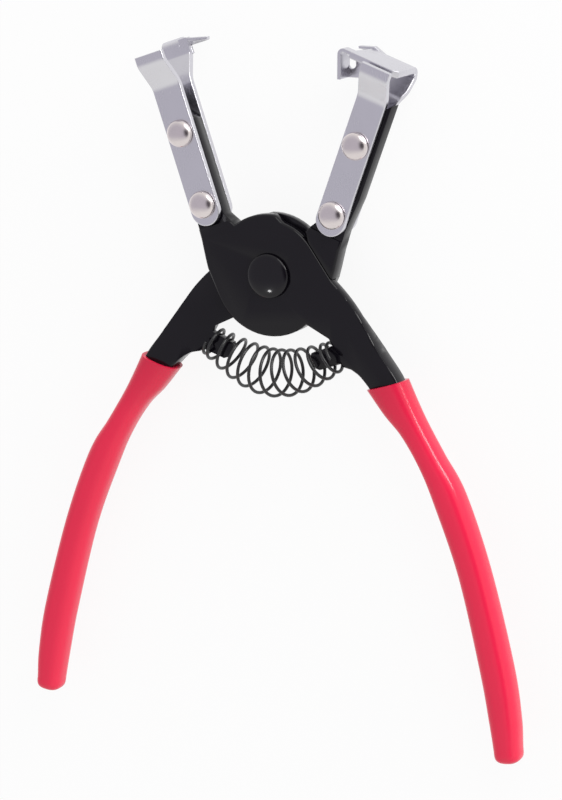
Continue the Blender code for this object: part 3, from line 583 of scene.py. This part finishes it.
class BentLine:
    """Middle line of bent sheet, seen from its side: straight runs with an arc at each corner.

    Its direction turns evenly along each arc, and its points are the running sum of that direction.
    Its marks are where the runs and the arcs start and end.
    """

    def __init__(self, corners, radii, step=0.00001):
        corners = np.asarray(corners, float)
        runs = np.diff(corners, axis=0)
        angles = np.unwrap(np.arctan2(runs[:, 1], runs[:, 0]))
        turns = np.abs(np.diff(angles))
        cut = np.asarray(radii) * np.tan(turns / 2)
        lengths = np.zeros(2 * len(runs) - 1)
        lengths[::2] = np.linalg.norm(runs, axis=1) - np.append(0, cut) - np.append(cut, 0)
        lengths[1::2] = turns * radii
        self.marks = np.append(0, np.cumsum(lengths))
        self.angles = np.repeat(angles, 2)
        self.fine = np.append(np.arange(0, self.marks[-1], step), self.marks[-1])
        middle = np.interp((self.fine[1:] + self.fine[:-1]) / 2, self.marks, self.angles)
        steps = np.stack([np.cos(middle), np.sin(middle)], -1) * np.diff(self.fine)[:, None]
        self.points = corners[0] + np.vstack([[0, 0], np.cumsum(steps, axis=0)])

    def places(self, bend_steps=8, run=0.004):
        """Distances along the line, close together in its bends."""
        found = [self.marks[:1]]
        for i, (low, high) in enumerate(zip(self.marks, self.marks[1:])):
            count = bend_steps if i % 2 else max(1, math.ceil((high - low) / run))
            found.append(np.linspace(low, high, count + 1)[1:])
        return np.concatenate(found)

    def at(self, distance):
        """Points of the line and the directions square to it."""
        angle = np.interp(distance, self.marks, self.angles)
        point = np.stack([np.interp(distance, self.fine, self.points[:, i]) for i in (0, 1)], -1)
        return point, np.stack([-np.sin(angle), np.cos(angle)], -1)


def quarter_round(edge):
    """Insets and drops of an edge's quarter round, edge * (1 - cos a) and edge * (1 - sin a)."""
    angle = np.radians(np.linspace(0, 90, QUARTER_ROWS))
    return edge * (1 - np.cos(angle)), edge * (1 - np.sin(angle))


def sheet_solid(line, extra, edges, thickness, edge, place, foot=False):
    """Bent sheet with rounded edges: rows along its middle line, and columns around its section.

    In a rounded foot of radius r, a row at an angle b lies (r - inset) * cos b before the foot's
    centre and (r - inset) * sin b to each side of it.
    """
    inset, drop = quarter_round(edge)
    inset, drop = np.append(inset, edge * EDGE_BAND), np.append(drop, 0)
    share = np.linspace(0, 1, FACE_COLUMNS)[1:-1]
    places = np.unique(np.append(line.places(), extra))
    rows, falls = [], []

    def add_row(low, high, fall):
        middle = low[-1] + (high[-1] - low[-1]) * share[:, None]
        rows.append(np.vstack([low, middle, high[::-1]]))
        falls.append(np.maximum(np.concatenate([drop, 0 * share, drop[::-1]]), fall))

    def straight(distance, fall=0.0):
        inner, outer = edges(*line.at(distance)[0])
        along = np.full(len(inset), distance)
        add_row(np.stack([along, inner + inset], -1), np.stack([along, outer - inset], -1), fall)

    start, last = places[0], places[-1]
    if foot:
        inner, outer = edges(*line.at(start)[0])
        radius = (outer - inner) / 2
        reach = radius - inset
        for turn in np.radians(np.linspace(0, 90, FOOT_ROWS))[:-1]:
            before, aside = reach * math.cos(turn), reach * math.sin(turn)
            low = np.stack([radius - before, inner + radius - aside], -1)
            add_row(low, low * [1, -1] + [0, inner + outer], 0)
        start = radius
        straight(start)
    else:
        for before, fall in zip(inset, drop):
            straight(start + before, fall)
        start += inset[-1]
    for distance in places[(places > start) & (places < last - inset[-1])]:
        straight(distance)
    for before, fall in zip(inset[::-1], drop[::-1]):
        straight(last - before, fall)
    rows, falls = np.array(rows), np.array(falls)
    point, square = line.at(rows[:, :, 0])
    lift = (thickness / 2 - falls)[:, :, None]
    flat = np.concatenate([point + square * lift, (point - square * lift)[:, ::-1]], axis=1)
    across = np.concatenate([rows[:, :, 1], rows[:, ::-1, 1]], axis=1)
    grid = place(flat[:, :, 0], flat[:, :, 1], across)
    count, columns = grid.shape[:2]
    return grid.reshape(-1, 3).tolist(), grid_faces(count, columns, not foot)


def flat_solid(outline, low, high, edge):
    """A flat plate, whose outline moves in along its corners' bisectors round its edges."""
    outline = np.asarray(outline, float)
    ahead = np.roll(outline, -1, axis=0) - outline
    ahead /= np.linalg.norm(ahead, axis=1, keepdims=True)
    left = np.stack([-ahead[:, 1], ahead[:, 0]], -1)
    before = np.roll(left, 1, axis=0)
    inward = (left + before) / (1 + (left * before).sum(axis=1, keepdims=True))
    inset, drop = quarter_round(edge)
    moved = np.append(inset[::-1], inset)
    height = np.append(low + drop[::-1], high - drop)
    flat = outline[None] + inward[None] * moved[:, None, None]
    level = np.repeat(height[:, None], len(outline), axis=1)
    grid = np.concatenate([flat, LAP_Z + level[:, :, None]], -1)
    return grid.reshape(-1, 3).tolist(), grid_faces(len(moved), len(outline))


def loft_solid(sections, width, segments=3, sharp_deg=30.0):
    """A solid through sections of equal count, flat at both ends, with each edge rounded."""
    sections = np.asarray(sections, float)
    rows, columns = sections.shape[:2]
    mesh = bpy.data.meshes.new("loft")
    mesh.from_pydata(sections.reshape(-1, 3).tolist(), [], grid_faces(rows, columns))
    form = bmesh.new()
    form.from_mesh(mesh)
    bmesh.ops.recalc_face_normals(form, faces=form.faces)
    sharp = [edge for edge in form.edges if edge.calc_face_angle(0) > math.radians(sharp_deg)]
    bmesh.ops.bevel(
        form,
        geom=sharp,
        offset=width,
        offset_type="OFFSET",
        segments=segments,
        profile=0.5,
        affect="EDGES",
    )
    form.verts.index_update()
    points = [tuple(vertex.co) for vertex in form.verts]
    faces = [[vertex.index for vertex in face.verts] for face in form.faces]
    form.free()
    bpy.data.meshes.remove(mesh)
    return points, faces


def softened(node, material, width, segments, flat_deg, sharp_deg):
    """A merged copy of a CAD node whose sharp edges get a small round."""
    source = frame["nodes"][node]
    mesh = source.data.copy()
    mesh.materials.clear()
    mesh.materials.append(material)
    form = bmesh.new()
    form.from_mesh(mesh)
    bmesh.ops.remove_doubles(form, verts=form.verts, dist=CAD_CLOSE)
    bmesh.ops.dissolve_limit(
        form, angle_limit=math.radians(flat_deg), verts=form.verts, edges=form.edges
    )
    form.to_mesh(mesh)
    form.free()
    thing = bpy.data.objects.new(node + "_finished", mesh)
    bpy.context.scene.collection.objects.link(thing)
    mesh.shade_smooth()
    bevel = thing.modifiers.new("edges", "BEVEL")
    bevel.width = width
    bevel.segments = segments
    bevel.limit_method = "ANGLE"
    bevel.angle_limit = math.radians(sharp_deg)
    bevel.harden_normals = True
    bevel.use_clamp_overlap = True
    return thing


def fit_out(thing, body, node):
    """Make a piece stand for one CAD node and ride on its body."""
    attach(thing, body)
    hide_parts(node)


class PliersSizes(PropertyGroup):
    forging_edge: FloatProperty(
        name="Forging edge",
        description="Round on the machined edges of the levers",
        default=0.00018,
        unit="LENGTH",
    )
    sheet_edge: FloatProperty(
        name="Sheet edge",
        description="Round on the edges of the jaw plates",
        default=0.00035,
        unit="LENGTH",
    )
    wire: FloatProperty(
        name="Wire",
        description="Diameter of the spring wire",
        default=0.0011,
        unit="LENGTH",
    )
    grip_squareness: FloatProperty(
        name="Grip squareness",
        description="2 is an oval grip, and more is a squarer one",
        default=2.7,
    )
    rivet_sides: IntProperty(
        name="Rivet sides",
        description="Sides of each turned rivet",
        default=64,
    )


class PliersColours(PropertyGroup):
    black: FloatVectorProperty(
        name="Black",
        description="Paint of the levers",
        subtype="COLOR",
        default=(0.0042, 0.0034, 0.0056),
    )
    chrome: FloatVectorProperty(
        name="Chrome",
        description="Plating of the jaws",
        subtype="COLOR",
        default=(0.69, 0.68, 0.73),
    )
    rivet: FloatVectorProperty(
        name="Rivet",
        description="Polished rivet heads",
        subtype="COLOR",
        default=(0.75, 0.685, 0.695),
    )
    vinyl: FloatVectorProperty(
        name="Vinyl",
        description="Dipped grips",
        subtype="COLOR",
        default=(0.87, 0.020, 0.074),
    )
    wire: FloatVectorProperty(
        name="Wire",
        description="Blackened spring",
        subtype="COLOR",
        default=(0.012, 0.012, 0.013),
    )


def sizes():
    return bpy.context.scene.pliers_sizes


def colours():
    return bpy.context.scene.pliers_colours


def grip_rings(squareness):
    """Rings of the right grip: a superellipse round each station of the handle's middle line.

    Across the handle a ring is half the width times the signed power of the cosine, and in depth
    half the depth times that of the sine, both to the power 2 over the squareness.
    """
    scale = np.array([HANDLE_SPREAD, -HANDLE_REACH, GRIP_WIDTH / 2])
    line = smooth_line(np.array(HANDLE_SHARES) * scale, GRIP_STEPS)
    middle, half = line[:, :2], line[:, 2]
    along = np.gradient(middle, axis=0)
    along /= np.linalg.norm(along, axis=1, keepdims=True)
    tip = HANDLE_REACH * (1 - HANDLE_SHARES[-1][1]) * TIP_SHARE
    fade = np.sin(np.radians(np.linspace(TIP_START_DEG, 90, TIP_ROWS)))
    cap_middle = middle[-1] + along[-1] * tip * fade[:, None]
    cap_half = half[-1] * np.sqrt(np.maximum(1 - (fade * TIP_SHORT) ** TIP_POWER, TIP_LEAST))
    middle = np.vstack([middle, cap_middle])
    half = np.concatenate([half, cap_half])
    along = np.vstack([along, np.repeat(along[-1:], len(fade), axis=0)])
    depth = GRIP_DEPTH / 2 * (1 + (half / GRIP_WIDTH * 2 - 1) / GRIP_DEPTH_LAG)
    depth[-len(fade) :] = depth[len(line) - 1] * cap_half / line[-1, 2]
    outward = np.stack([-along[:, 1], along[:, 0]], -1)
    slant = math.radians(MOUTH_SLANT_DEG) * np.clip(1 - np.arange(len(middle)) / GRIP_STEPS, 0, 1)
    x, y = outward.T
    slanted = np.stack(
        [x * np.cos(slant) + y * np.sin(slant), y * np.cos(slant) - x * np.sin(slant)], -1
    )
    angle = np.linspace(0, 2 * math.pi, GRIP_SIDES, endpoint=False)
    power = 2 / squareness
    across = np.sign(np.cos(angle)) * np.abs(np.cos(angle)) ** power
    up = np.sign(np.sin(angle)) * np.abs(np.sin(angle)) ** power
    reach = (half / np.cos(slant))[:, None] * across
    flat = middle[:, None, :] + slanted[:, None, :] * reach[:, :, None]
    height = LAP_Z + depth[:, None] * up
    return np.concatenate([flat, height[:, :, None]], -1)


class PLIERS_OT_grips(Operator):
    """Dipped grips with a rounded mouth and a closed end"""

    bl_idname = "pliers.grips"
    bl_label = "Grips"

    def execute(self, context):
        rings = grip_rings(sizes().grip_squareness)
        centre = rings[0].mean(axis=0)
        inward = (rings[1] - rings[0]).mean(axis=0)
        lips = [
            centre + (rings[0] - centre) * share + inward * step for share, step in GRIP_LIPS
        ]
        rings = np.concatenate([np.array(lips), rings[:1] + inward * MOUTH_STEP, rings[1:]])
        material = vinyl_finish("vinyl", colours())
        for name, body, turn in (("right_grip", FRONT_BODY, 1), ("left_grip", REAR_BODY, -1)):
            grid = rings.copy()
            grid[:, :, 0] *= turn
            grid[:, :, 2] = LAP_Z + (grid[:, :, 2] - LAP_Z) * turn
            fit_out(grid_piece(name + "_finished", grid, material, sharp_deg=60.0), body, name)
        return {"FINISHED"}


class PLIERS_OT_levers(Operator):
    """Forged levers with their machined lap joint"""

    bl_idname = "pliers.levers"
    bl_label = "Levers"

    def execute(self, context):
        material = black_finish("black_paint", colours())
        for name, body in (("front_lever", FRONT_BODY), ("rear_lever", REAR_BODY)):
            width = sizes().forging_edge
            piece = softened(name, material, width, segments=2, flat_deg=0.2, sharp_deg=45.0)
            fit_out(piece, body, name)
        return {"FINISHED"}


def plate_line(face, *corners, bends=()):
    """Middle line of a plate in side view, from its foot past the crank.

    It lies in front of the arm where face is 1, and behind it where face is -1.
    """
    seat = face * (PLATE_SEAT + SHEET / 2)
    head = face * (HEAD_SEAT + SHEET / 2)
    corners = [(along, head if height is None else height) for along, height in corners]
    start = [(PLATE_START, seat), (CRANK_START, seat), (CRANK_END, head)]
    return BentLine([*start, *corners], (*CRANK_BENDS, *bends))


def front_plate(side):
    """A front plate: a straight strip with a rounded foot, cranked forwards near its end."""

    def edges(along, height):
        return PLATE_INNER, PLATE_OUTER

    line = plate_line(1, (FRONT_END, None))
    place = partial(on_arm, side)
    return [sheet_solid(line, [], edges, SHEET, sizes().sheet_edge, place, foot=True)]


def finger_solid(side, places):
    """A tapered finger: at each place its x and top, then its heights behind and in front."""
    front = LAP_Z - HEAD_SEAT - HAIR
    back = LAP_Z - HEAD_SEAT - SHEET + HAIR
    sections = []
    for x, top, (height, face) in places:
        ends = ((top, front), (top - face, front), (top - height, back), (top, back))
        sections.append([(side * x, y, z) for y, z in ends])
    return loft_solid(sections, FINGER_EDGE)


def left_back_plate():
    """The left jaw's back plate: its end is turned backwards, and its corner carries a finger."""
    side = -1
    start = FLANGE_LEVEL - SHEET / 2 - FLANGE_BEND

    def edges(along, height):
        inner = np.interp(along, [start, start + SLIT], [PLATE_INNER, FLANGE_INNER])
        return inner, np.interp(along, [start, start + SLIT], [PLATE_OUTER, FLANGE_OUTER])

    edge = sizes().sheet_edge
    corners = (FLANGE_LEVEL, None), (FLANGE_LEVEL, -FLANGE_REAR)
    line = plate_line(-1, *corners, bends=(FLANGE_BEND,))
    bend = line.marks[5]
    place = partial(on_arm, side)
    plate = sheet_solid(line, [bend, bend + SLIT], edges, SHEET, edge, place, foot=True)
    low = TOP_NECK - SHEET / 2
    inner, outer = PLATE_INNER + HAIR / 2, FLANGE_INNER - SEAT_GAP
    corners = ((low, inner), (low, outer), (FLANGE_LEVEL, outer), (FLANGE_LEVEL, inner))
    outline = [on_arm(side, along, 0, across)[:2] for along, across in corners]
    tab = flat_solid(outline, -HEAD_SEAT - SHEET + HAIR / 2, -HEAD_SEAT - HAIR / 2, edge)
    x, y = on_arm(1, FLANGE_LEVEL + SHEET / 2, 0, PLATE_INNER)[:2]
    root = (x + SHEET / 2, y - FINGER_RISE, FINGER_ROOT)
    return [plate, tab, finger_solid(side, [root, (x - LEFT_FINGER_REACH, y, FINGER_TIP)])]


def right_back_plate():
    """The right jaw's back plate: its top is turned forwards and ends in a hook and a panel."""
    side = 1
    flare_ends = [FLARE_START, FLARE_FULL, CRANK_END, TOP_LEVEL + SHEET]

    def edges(along, height):
        flare = np.interp(along, flare_ends, [0, 1, FLARE_CRANK_SHARE, 0])
        outer = PLATE_OUTER + HEAD_FLARE * flare
        slope = (outer - TOP_CORNER_OUTER) / (TOP_FRONT - TOP_CORNER_HEIGHT)
        outer = np.minimum(outer, TOP_CORNER_OUTER + (TOP_FRONT - height) * slope)
        fold = [TOP_FRONT - HOOK_DEPTH * TOP_FOLD_SHARE, TOP_FRONT - HOOK_DEPTH]
        reach = np.interp(height, fold, [TOP_INNER_BACK, TOP_INNER_FRONT])
        past = np.clip((along - TOP_NECK) / SLIT, 0, 1)
        return PLATE_INNER + (reach - PLATE_INNER) * past, outer

    edge = sizes().sheet_edge
    line = plate_line(-1, (TOP_LEVEL, None), (TOP_LEVEL, TOP_FRONT), bends=(TOP_BEND,))
    bend, flat = line.marks[5:7]
    level = flat - (TOP_BEND - HEAD_SEAT - SHEET / 2)
    extra = [bend, bend + SLIT, line.marks[4]]
    extra += [level - HOOK_DEPTH, level + TOP_FRONT - HOOK_DEPTH, level + TOP_CORNER_HEIGHT]
    extra += [FLARE_START - PLATE_START, FLARE_FULL - PLATE_START]
    plate = sheet_solid(line, extra, edges, SHEET, edge, partial(on_arm, side), foot=True)
    x, y = on_arm(1, TOP_LEVEL + SHEET / 2, 0, PLATE_INNER)[:2]
    top = y + RIGHT_FINGER_RISE
    tip = x - RIGHT_FINGER_REACH
    root = on_arm(1, TOP_LEVEL - SHEET / 2, 0, (PLATE_INNER + PLATE_OUTER) / 2)
    places = [
        (root[0], root[1], FINGER_ROOT),
        (tip + RIGHT_FINGER_LENGTH, top, FINGER_ROOT),
        (tip, top, FINGER_TIP),
    ]
    return [plate, finger_solid(side, places), *hook_solids(x - HOOK_REACH, edge)]


def hook_solids(outer, edge):
    """The hook's arm, which runs along the top and bends down into a tab, and its panel."""
    tilt = math.radians(ARM_TILT_DEG)
    level = TOP_LEVEL + SHEET / 2 - HOOK_SHEET / 2 - HAIR
    middle = outer + HOOK_SHEET / 2
    corner = np.array([middle, (level - middle * math.sin(tilt)) / math.cos(tilt)])
    start = on_arm(1, level, 0, PLATE_INNER)[:2]
    tip = corner[1] - HOOK_DROP
    bend = corner[1] - HOOK_BEND * 2
    back = TOP_FRONT - PANEL_DEPTH - PANEL_SHEET

    def edges(x, y):
        inner = np.interp(y, [bend - HOOK_STEP, bend], [back, TOP_FRONT - HOOK_DEPTH])
        return inner, TOP_FRONT - HAIR

    def place(x, y, height):
        return np.stack([x, y, LAP_Z + height], -1)

    line = BentLine([start, corner, (middle, tip)], (HOOK_BEND,))
    after = line.marks[2] + HOOK_BEND
    round_edge = edge * HOOK_EDGE_SHARE
    arm = sheet_solid(line, [after, after + HOOK_STEP], edges, HOOK_SHEET, round_edge, place)
    left = outer + HOOK_SHEET
    far = outer + PANEL_WIDTH
    radius = WINDOW_WIDTH / 2
    sill = tip + PANEL_SILL + radius
    roof = (TOP_LEVEL - SHEET / 2 - SEAT_GAP) / math.cos(tilt)
    turn = np.radians(np.linspace(180, 360, WINDOW_ROWS))
    round_end = np.stack([left + radius + radius * np.cos(turn), sill + radius * np.sin(turn)], -1)
    corners = [
        (middle, tip + HAIR),
        (far, tip + HAIR),
        (far, roof - far * math.tan(tilt)),
        (left + WINDOW_WIDTH, roof - (left + WINDOW_WIDTH) * math.tan(tilt)),
        *round_end[::-1],
        (middle, sill),
    ]
    panel = flat_solid(corners, back, TOP_FRONT - PANEL_DEPTH, round_edge)
    return [arm, panel]


class PLIERS_OT_jaws(Operator):
    """Cranked and folded sheet plates of both jaws"""

    bl_idname = "pliers.jaws"
    bl_label = "Jaw plates"

    def execute(self, context):
        for side, body, turn in (("left", FRONT_BODY, -1), ("right", REAR_BODY, 1)):
            material = chrome_finish(side + "_chrome", colours(), turn * ARM_TILT_DEG)
            back = right_back_plate() if turn > 0 else left_back_plate()
            for layer, solids in (("front", front_plate(turn)), ("back", back)):
                name = f"{side}_jaw_{layer}"
                fit_out(joined(name + "_finished", solids, material, sharp_deg=35.0), body, name)
        return {"FINISHED"}


def head_profile(radius, low, high, rounding, steps=12):
    """Dome from its top to its rim: radius times sine, and a height that falls as the cosine."""
    angle = np.radians(np.linspace(0, 90, steps))
    height = low + rounding + (high - low - rounding) * np.cos(angle)
    dome = np.stack([radius * np.sin(angle), height], -1)
    waist = [radius, low + rounding * RIM_WAIST]
    foot = np.array([waist, [radius - rounding * RIM_UNDERCUT, low]])
    return np.vstack([dome, foot])


class PLIERS_OT_rivets(Operator):
    """Domed rivets of the jaws"""

    bl_idname = "pliers.rivets"
    bl_label = "Rivets"

    def execute(self, context):
        material = dome_finish("rivet_steel", colours())
        for side, body in (("left", FRONT_BODY), ("right", REAR_BODY)):
            for level in ("upper", "lower"):
                name = f"{side}_{level}_rivet"
                low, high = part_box(name)
                centre = (low + high) / 2
                radius = (high.x - low.x) / 2
                seat = PLATE_SEAT + SHEET + SEAT_GAP
                front = LAP_Z + seat
                back = LAP_Z - seat
                top = head_profile(radius, front, high.z, RIVET_RIM)
                tail = head_profile(radius, -back, -low.z, TAIL_RIM)[::-1] * [1, -1]
                bore = radius * RIVET_SHANK_SHARE
                shank = [[bore, front], [bore, back]]
                profile = np.vstack([top, shank, tail])
                grid = turned(profile, centre, sizes().rivet_sides)
                fit_out(grid_piece(name + "_finished", grid, material), body, name)
        return {"FINISHED"}


class PLIERS_OT_pivot(Operator):
    """Black rivet that the levers turn on"""

    bl_idname = "pliers.pivot"
    bl_label = "Pivot"

    def execute(self, context):
        low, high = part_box("pivot_rivet")
        front = LAP_Z + LEVER_HALF + PIVOT_GAP
        top = head_profile(PIVOT_RADIUS, front, high.z, PIVOT_RIM, PIVOT_ROWS)
        back = LAP_Z - LEVER_HALF - PIVOT_GAP
        shank = PIVOT_RADIUS * PIVOT_SHANK_SHARE
        rest = [
            [shank, front],
            [shank, back],
            [PIVOT_RADIUS, back],
            [PIVOT_RADIUS, low.z + PIVOT_TAIL_RIM],
            [PIVOT_RADIUS - PIVOT_TAIL_RIM, low.z],
            [0, low.z],
        ]
        grid = turned(np.vstack([top, rest]), (0, 0), sizes().rivet_sides)
        material = black_finish("pivot_black", colours(), PIVOT_COAT)
        fit_out(grid_piece("pivot_rivet_finished", grid, material), FRONT_BODY, "pivot_rivet")
        return {"FINISHED"}


def bezier(points, t):
    """Cubic curve through its first and last of four points, and its direction, at shares t."""
    a, b, c, d = points
    s = 1 - t
    place = a * s**3 + b * (3 * s**2 * t) + c * (3 * s * t**2) + d * t**3
    along = (b - a) * s**2 + (c - b) * (2 * s * t) + (d - c) * t**2
    return place, along / np.linalg.norm(along, axis=1, keepdims=True)


def spring_middle(steps=40):
    """Middle of the wire: a circle carried along a cubic curve that sags between the two lugs.

    The circle's radius swells as the sine of the curve's share, and each end has closed turns.
    """
    slope = math.radians(SPRING_SLOPE_DEG)
    out = np.array([-math.cos(slope), -math.sin(slope)])
    end = np.array(SPRING_SEAT) + out * SPRING_LIFT
    pull = SPRING_SAG / (BOW_SHARE * -out[1])
    right = np.array([*end, SPRING_LEVEL])
    after = right + np.array([*out, 0]) * pull
    curve = right * [-1, 1, -1], after * [-1, 1, -1], after, right
    t = np.linspace(0, 1, CURVE_POINTS)[:, None]
    axis = bezier(curve, t)[0]
    run = np.append(0, np.cumsum(np.linalg.norm(np.diff(axis, axis=0), axis=1)))
    dead = SPRING_DEAD_TURNS
    pitch = SPRING_CLOSED_PITCH
    free = (run[-1] - 2 * dead * pitch) / (SPRING_TURNS - 2 * dead)
    turn = np.linspace(0, SPRING_TURNS, SPRING_TURNS * steps + 1)
    ahead = np.minimum(turn, SPRING_TURNS - turn)
    length = np.minimum(ahead, dead) * pitch + np.maximum(ahead - dead, 0) * free
    length = np.where(turn <= SPRING_TURNS / 2, length, run[-1] - length)
    share = np.interp(length, run, t[:, 0])[:, None]
    place, along = bezier(curve, share)
    across = np.cross([0, 0, 1], along)
    across /= np.linalg.norm(across, axis=1, keepdims=True)
    up = np.cross(along, across)
    swell = np.sin(math.pi * share) ** SWELL_POWER
    radius = SPRING_END_RADIUS + (SPRING_MID_RADIUS - SPRING_END_RADIUS) * swell
    angle = (2 * math.pi * turn + math.radians(SPRING_START_DEG))[:, None]
    outward = across * np.cos(angle) + up * np.sin(angle)
    return place + outward * radius + [0, 0, LAP_Z], outward


def tube(middle, outward, radius, sides=14):
    """A round wire along a line: rings of radius times cosine and sine, closing at both ends."""
    along = np.gradient(middle, axis=0)
    along /= np.linalg.norm(along, axis=1, keepdims=True)
    first = outward - along * (outward * along).sum(axis=1, keepdims=True)
    first /= np.linalg.norm(first, axis=1, keepdims=True)
    second = np.cross(along, first)
    last = len(middle) - 1
    fade = np.radians(np.linspace(WIRE_END_DEG, 90, WIRE_END_ROWS))
    ahead = np.concatenate([-np.cos(fade), np.zeros(last - 1), np.cos(fade[::-1])]) * radius
    size = np.concatenate([np.sin(fade), np.ones(last - 1), np.sin(fade[::-1])]) * radius
    at = np.concatenate([0 * fade, np.arange(1, last), 0 * fade + last]).astype(int)
    angle = np.linspace(0, 2 * math.pi, sides, endpoint=False)[None, :, None]
    ring = first[at][:, None] * np.cos(angle) + second[at][:, None] * np.sin(angle)
    return (middle[at] + along[at] * ahead[:, None])[:, None] + ring * size[:, None, None]


class PLIERS_OT_spring(Operator):
    """Bowed return spring"""

    bl_idname = "pliers.spring"
    bl_label = "Return spring"

    def execute(self, context):
        grid = tube(*spring_middle(), sizes().wire / 2)
        piece = grid_piece("return_spring_finished", grid, wire_finish("spring_wire", colours()))
        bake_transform(piece)
        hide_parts("return_spring")
        return {"FINISHED"}


def camera_axes():
    """Right, up and back directions of the photograph's camera."""
    turn, rise = math.radians(CAMERA_TURN_DEG), math.radians(CAMERA_RISE_DEG)
    level = math.cos(rise)
    back = Vector((math.sin(turn) * level, math.sin(rise), math.cos(turn) * level))
    right = Vector((math.cos(turn), 0, -math.sin(turn)))
    up = back.cross(right)
    roll = math.radians(CAMERA_ROLL_DEG)
    turned_right = right * math.cos(roll) + up * math.sin(roll)
    return turned_right, up * math.cos(roll) - right * math.sin(roll), back


def disk_lamp(name, direction, distance, size, watts):
    """A round lamp that faces the origin from a direction."""
    data = bpy.data.lights.new(name, "AREA")
    data.shape = "DISK"
    data.size = size
    data.energy = watts
    lamp = bpy.data.objects.new(name, data)
    lamp.location = Vector(direction).normalized() * distance
    lamp.rotation_euler = (-lamp.location).to_track_quat("-Z", "Y").to_euler()
    bpy.context.scene.collection.objects.link(lamp)
    return lamp


class PLIERS_OT_stage(Operator):
    """Camera, floor, lamps and world"""

    bl_idname = "pliers.stage"
    bl_label = "Stage"

    def execute(self, context):
        scene = context.scene
        right, up, back = camera_axes()
        aside = right * CAMERA_RIGHT + up * CAMERA_UP
        eye = back * CAMERA_DISTANCE + aside + Vector((0, 0, LAP_Z))
        data = bpy.data.cameras.new("camera")
        data.lens = CAMERA_LENS_MM
        data.sensor_width = SENSOR_MM
        data.clip_end = CAMERA_FAR
        camera = bpy.data.objects.new("camera", data)
        facing = Matrix((right, up, back)).transposed().to_4x4()
        camera.matrix_world = Matrix.Translation(eye) @ facing
        scene.collection.objects.link(camera)
        scene.camera = camera
        self.floor()
        self.world(scene)
        lamps = [disk_lamp(*lamp) for lamp in LAMPS]
        dome = bpy.data.collections.new("glint_on_pivot")
        dome.objects.link(bpy.data.objects["pivot_rivet_finished"])
        lamps[-1].light_linking.receiver_collection = dome
        scene.view_settings.view_transform = "Standard"
        return {"FINISHED"}

    def floor(self):
        """Pale floor that keeps the shadow. Camera and mirrored rays see it nearly white."""
        level = CAD_BOX[0][2] - FLOOR_GAP
        half = FLOOR_HALF
        around = ((-half, -half), (half, -half), (half, half), (-half, half))
        corners = [(x, y, level) for x, y in around]
        mesh = bpy.data.meshes.new("floor")
        mesh.from_pydata(corners, [], [(0, 1, 2, 3)])
        floor = bpy.data.objects.new("floor", mesh)
        bpy.context.scene.collection.objects.link(floor)
        material = bpy.data.materials.new("floor")
        material.use_nodes = True
        n = Nodes(material.node_tree)
        output = n.tree.nodes.new("ShaderNodeOutputMaterial")
        lit = n.add("BsdfDiffuse", None, Color=FLOOR_TONE)[0]
        white = n.add("Emission", None, Color=WHITE, Strength=1.0)[0]
        path = n.add("LightPath")
        seen = (path[CAMERA_RAY] + path[GLOSSY_RAY] + path[TRANSMISSION_RAY]).clamped()
        n.feed(output.inputs[0], n.add("MixShader", None, seen * FLOOR_GLOW, lit, white)[0])
        mesh.materials.append(material)

    def world(self, scene):
        """White for the camera. Else bright sides, a grey front and a dark place at the lens."""
        world = bpy.data.worlds.new("studio")
        world.use_nodes = True
        n = Nodes(world.node_tree)
        output = n.tree.nodes.new("ShaderNodeOutputWorld")
        direction = n.add("TexCoord")[0]

        def towards(goal, edge, width):
            along = n.add("VectorMath", {"operation": "DOT_PRODUCT"}, direction, goal)[0]
            return along.over(edge, width)

        above_foot = n.add("SeparateXYZ", None, direction)[1].over(*FRONT_FOOT)
        front = towards(*FRONT_PLACE) * above_foot
        tone = n.mixed(front, SIDES_TONE, FRONT_TONE)
        tone = n.mixed(towards(*LENS_PLACE), tone, LENS_TONE)
        around = n.add("Background", None, Color=tone, Strength=1.0)[0]
        white = n.add("Background", None, Color=WHITE, Strength=1.0)[0]
        camera_ray = n.add("LightPath")[CAMERA_RAY]
        n.feed(output.inputs[0], n.add("MixShader", None, camera_ray, around, white)[0])
        scene.world = world


STEPS = (
    PLIERS_OT_levers,
    PLIERS_OT_jaws,
    PLIERS_OT_rivets,
    PLIERS_OT_pivot,
    PLIERS_OT_grips,
    PLIERS_OT_spring,
    PLIERS_OT_stage,
)


class PLIERS_PT_panel(Panel):
    """Sizes, colours and a button for each step"""

    bl_label = "Hose clamp pliers"
    bl_idname = "PLIERS_PT_panel"
    bl_space_type = "VIEW_3D"
    bl_region_type = "UI"
    bl_category = "Pliers"

    def draw(self, context):
        for group in (context.scene.pliers_sizes, context.scene.pliers_colours):
            for name in group.bl_rna.properties.keys():
                if name not in ("rna_type", "name"):
                    self.layout.prop(group, name)
        for step in STEPS:
            self.layout.operator(step.bl_idname)


CLASSES = (PliersSizes, PliersColours, *STEPS, PLIERS_PT_panel)


def register():
    for cls in CLASSES:
        bpy.utils.register_class(cls)
    bpy.types.Scene.pliers_sizes = PointerProperty(type=PliersSizes)
    bpy.types.Scene.pliers_colours = PointerProperty(type=PliersColours)


def unregister():
    del bpy.types.Scene.pliers_colours
    del bpy.types.Scene.pliers_sizes
    for cls in reversed(CLASSES):
        bpy.utils.unregister_class(cls)


def main():
    register()
    bpy.ops.pliers.levers()
    bpy.ops.pliers.jaws()
    bpy.ops.pliers.rivets()
    bpy.ops.pliers.pivot()
    bpy.ops.pliers.grips()
    bpy.ops.pliers.spring()
    bpy.ops.pliers.stage()


if __name__ == "__main__":
    main()
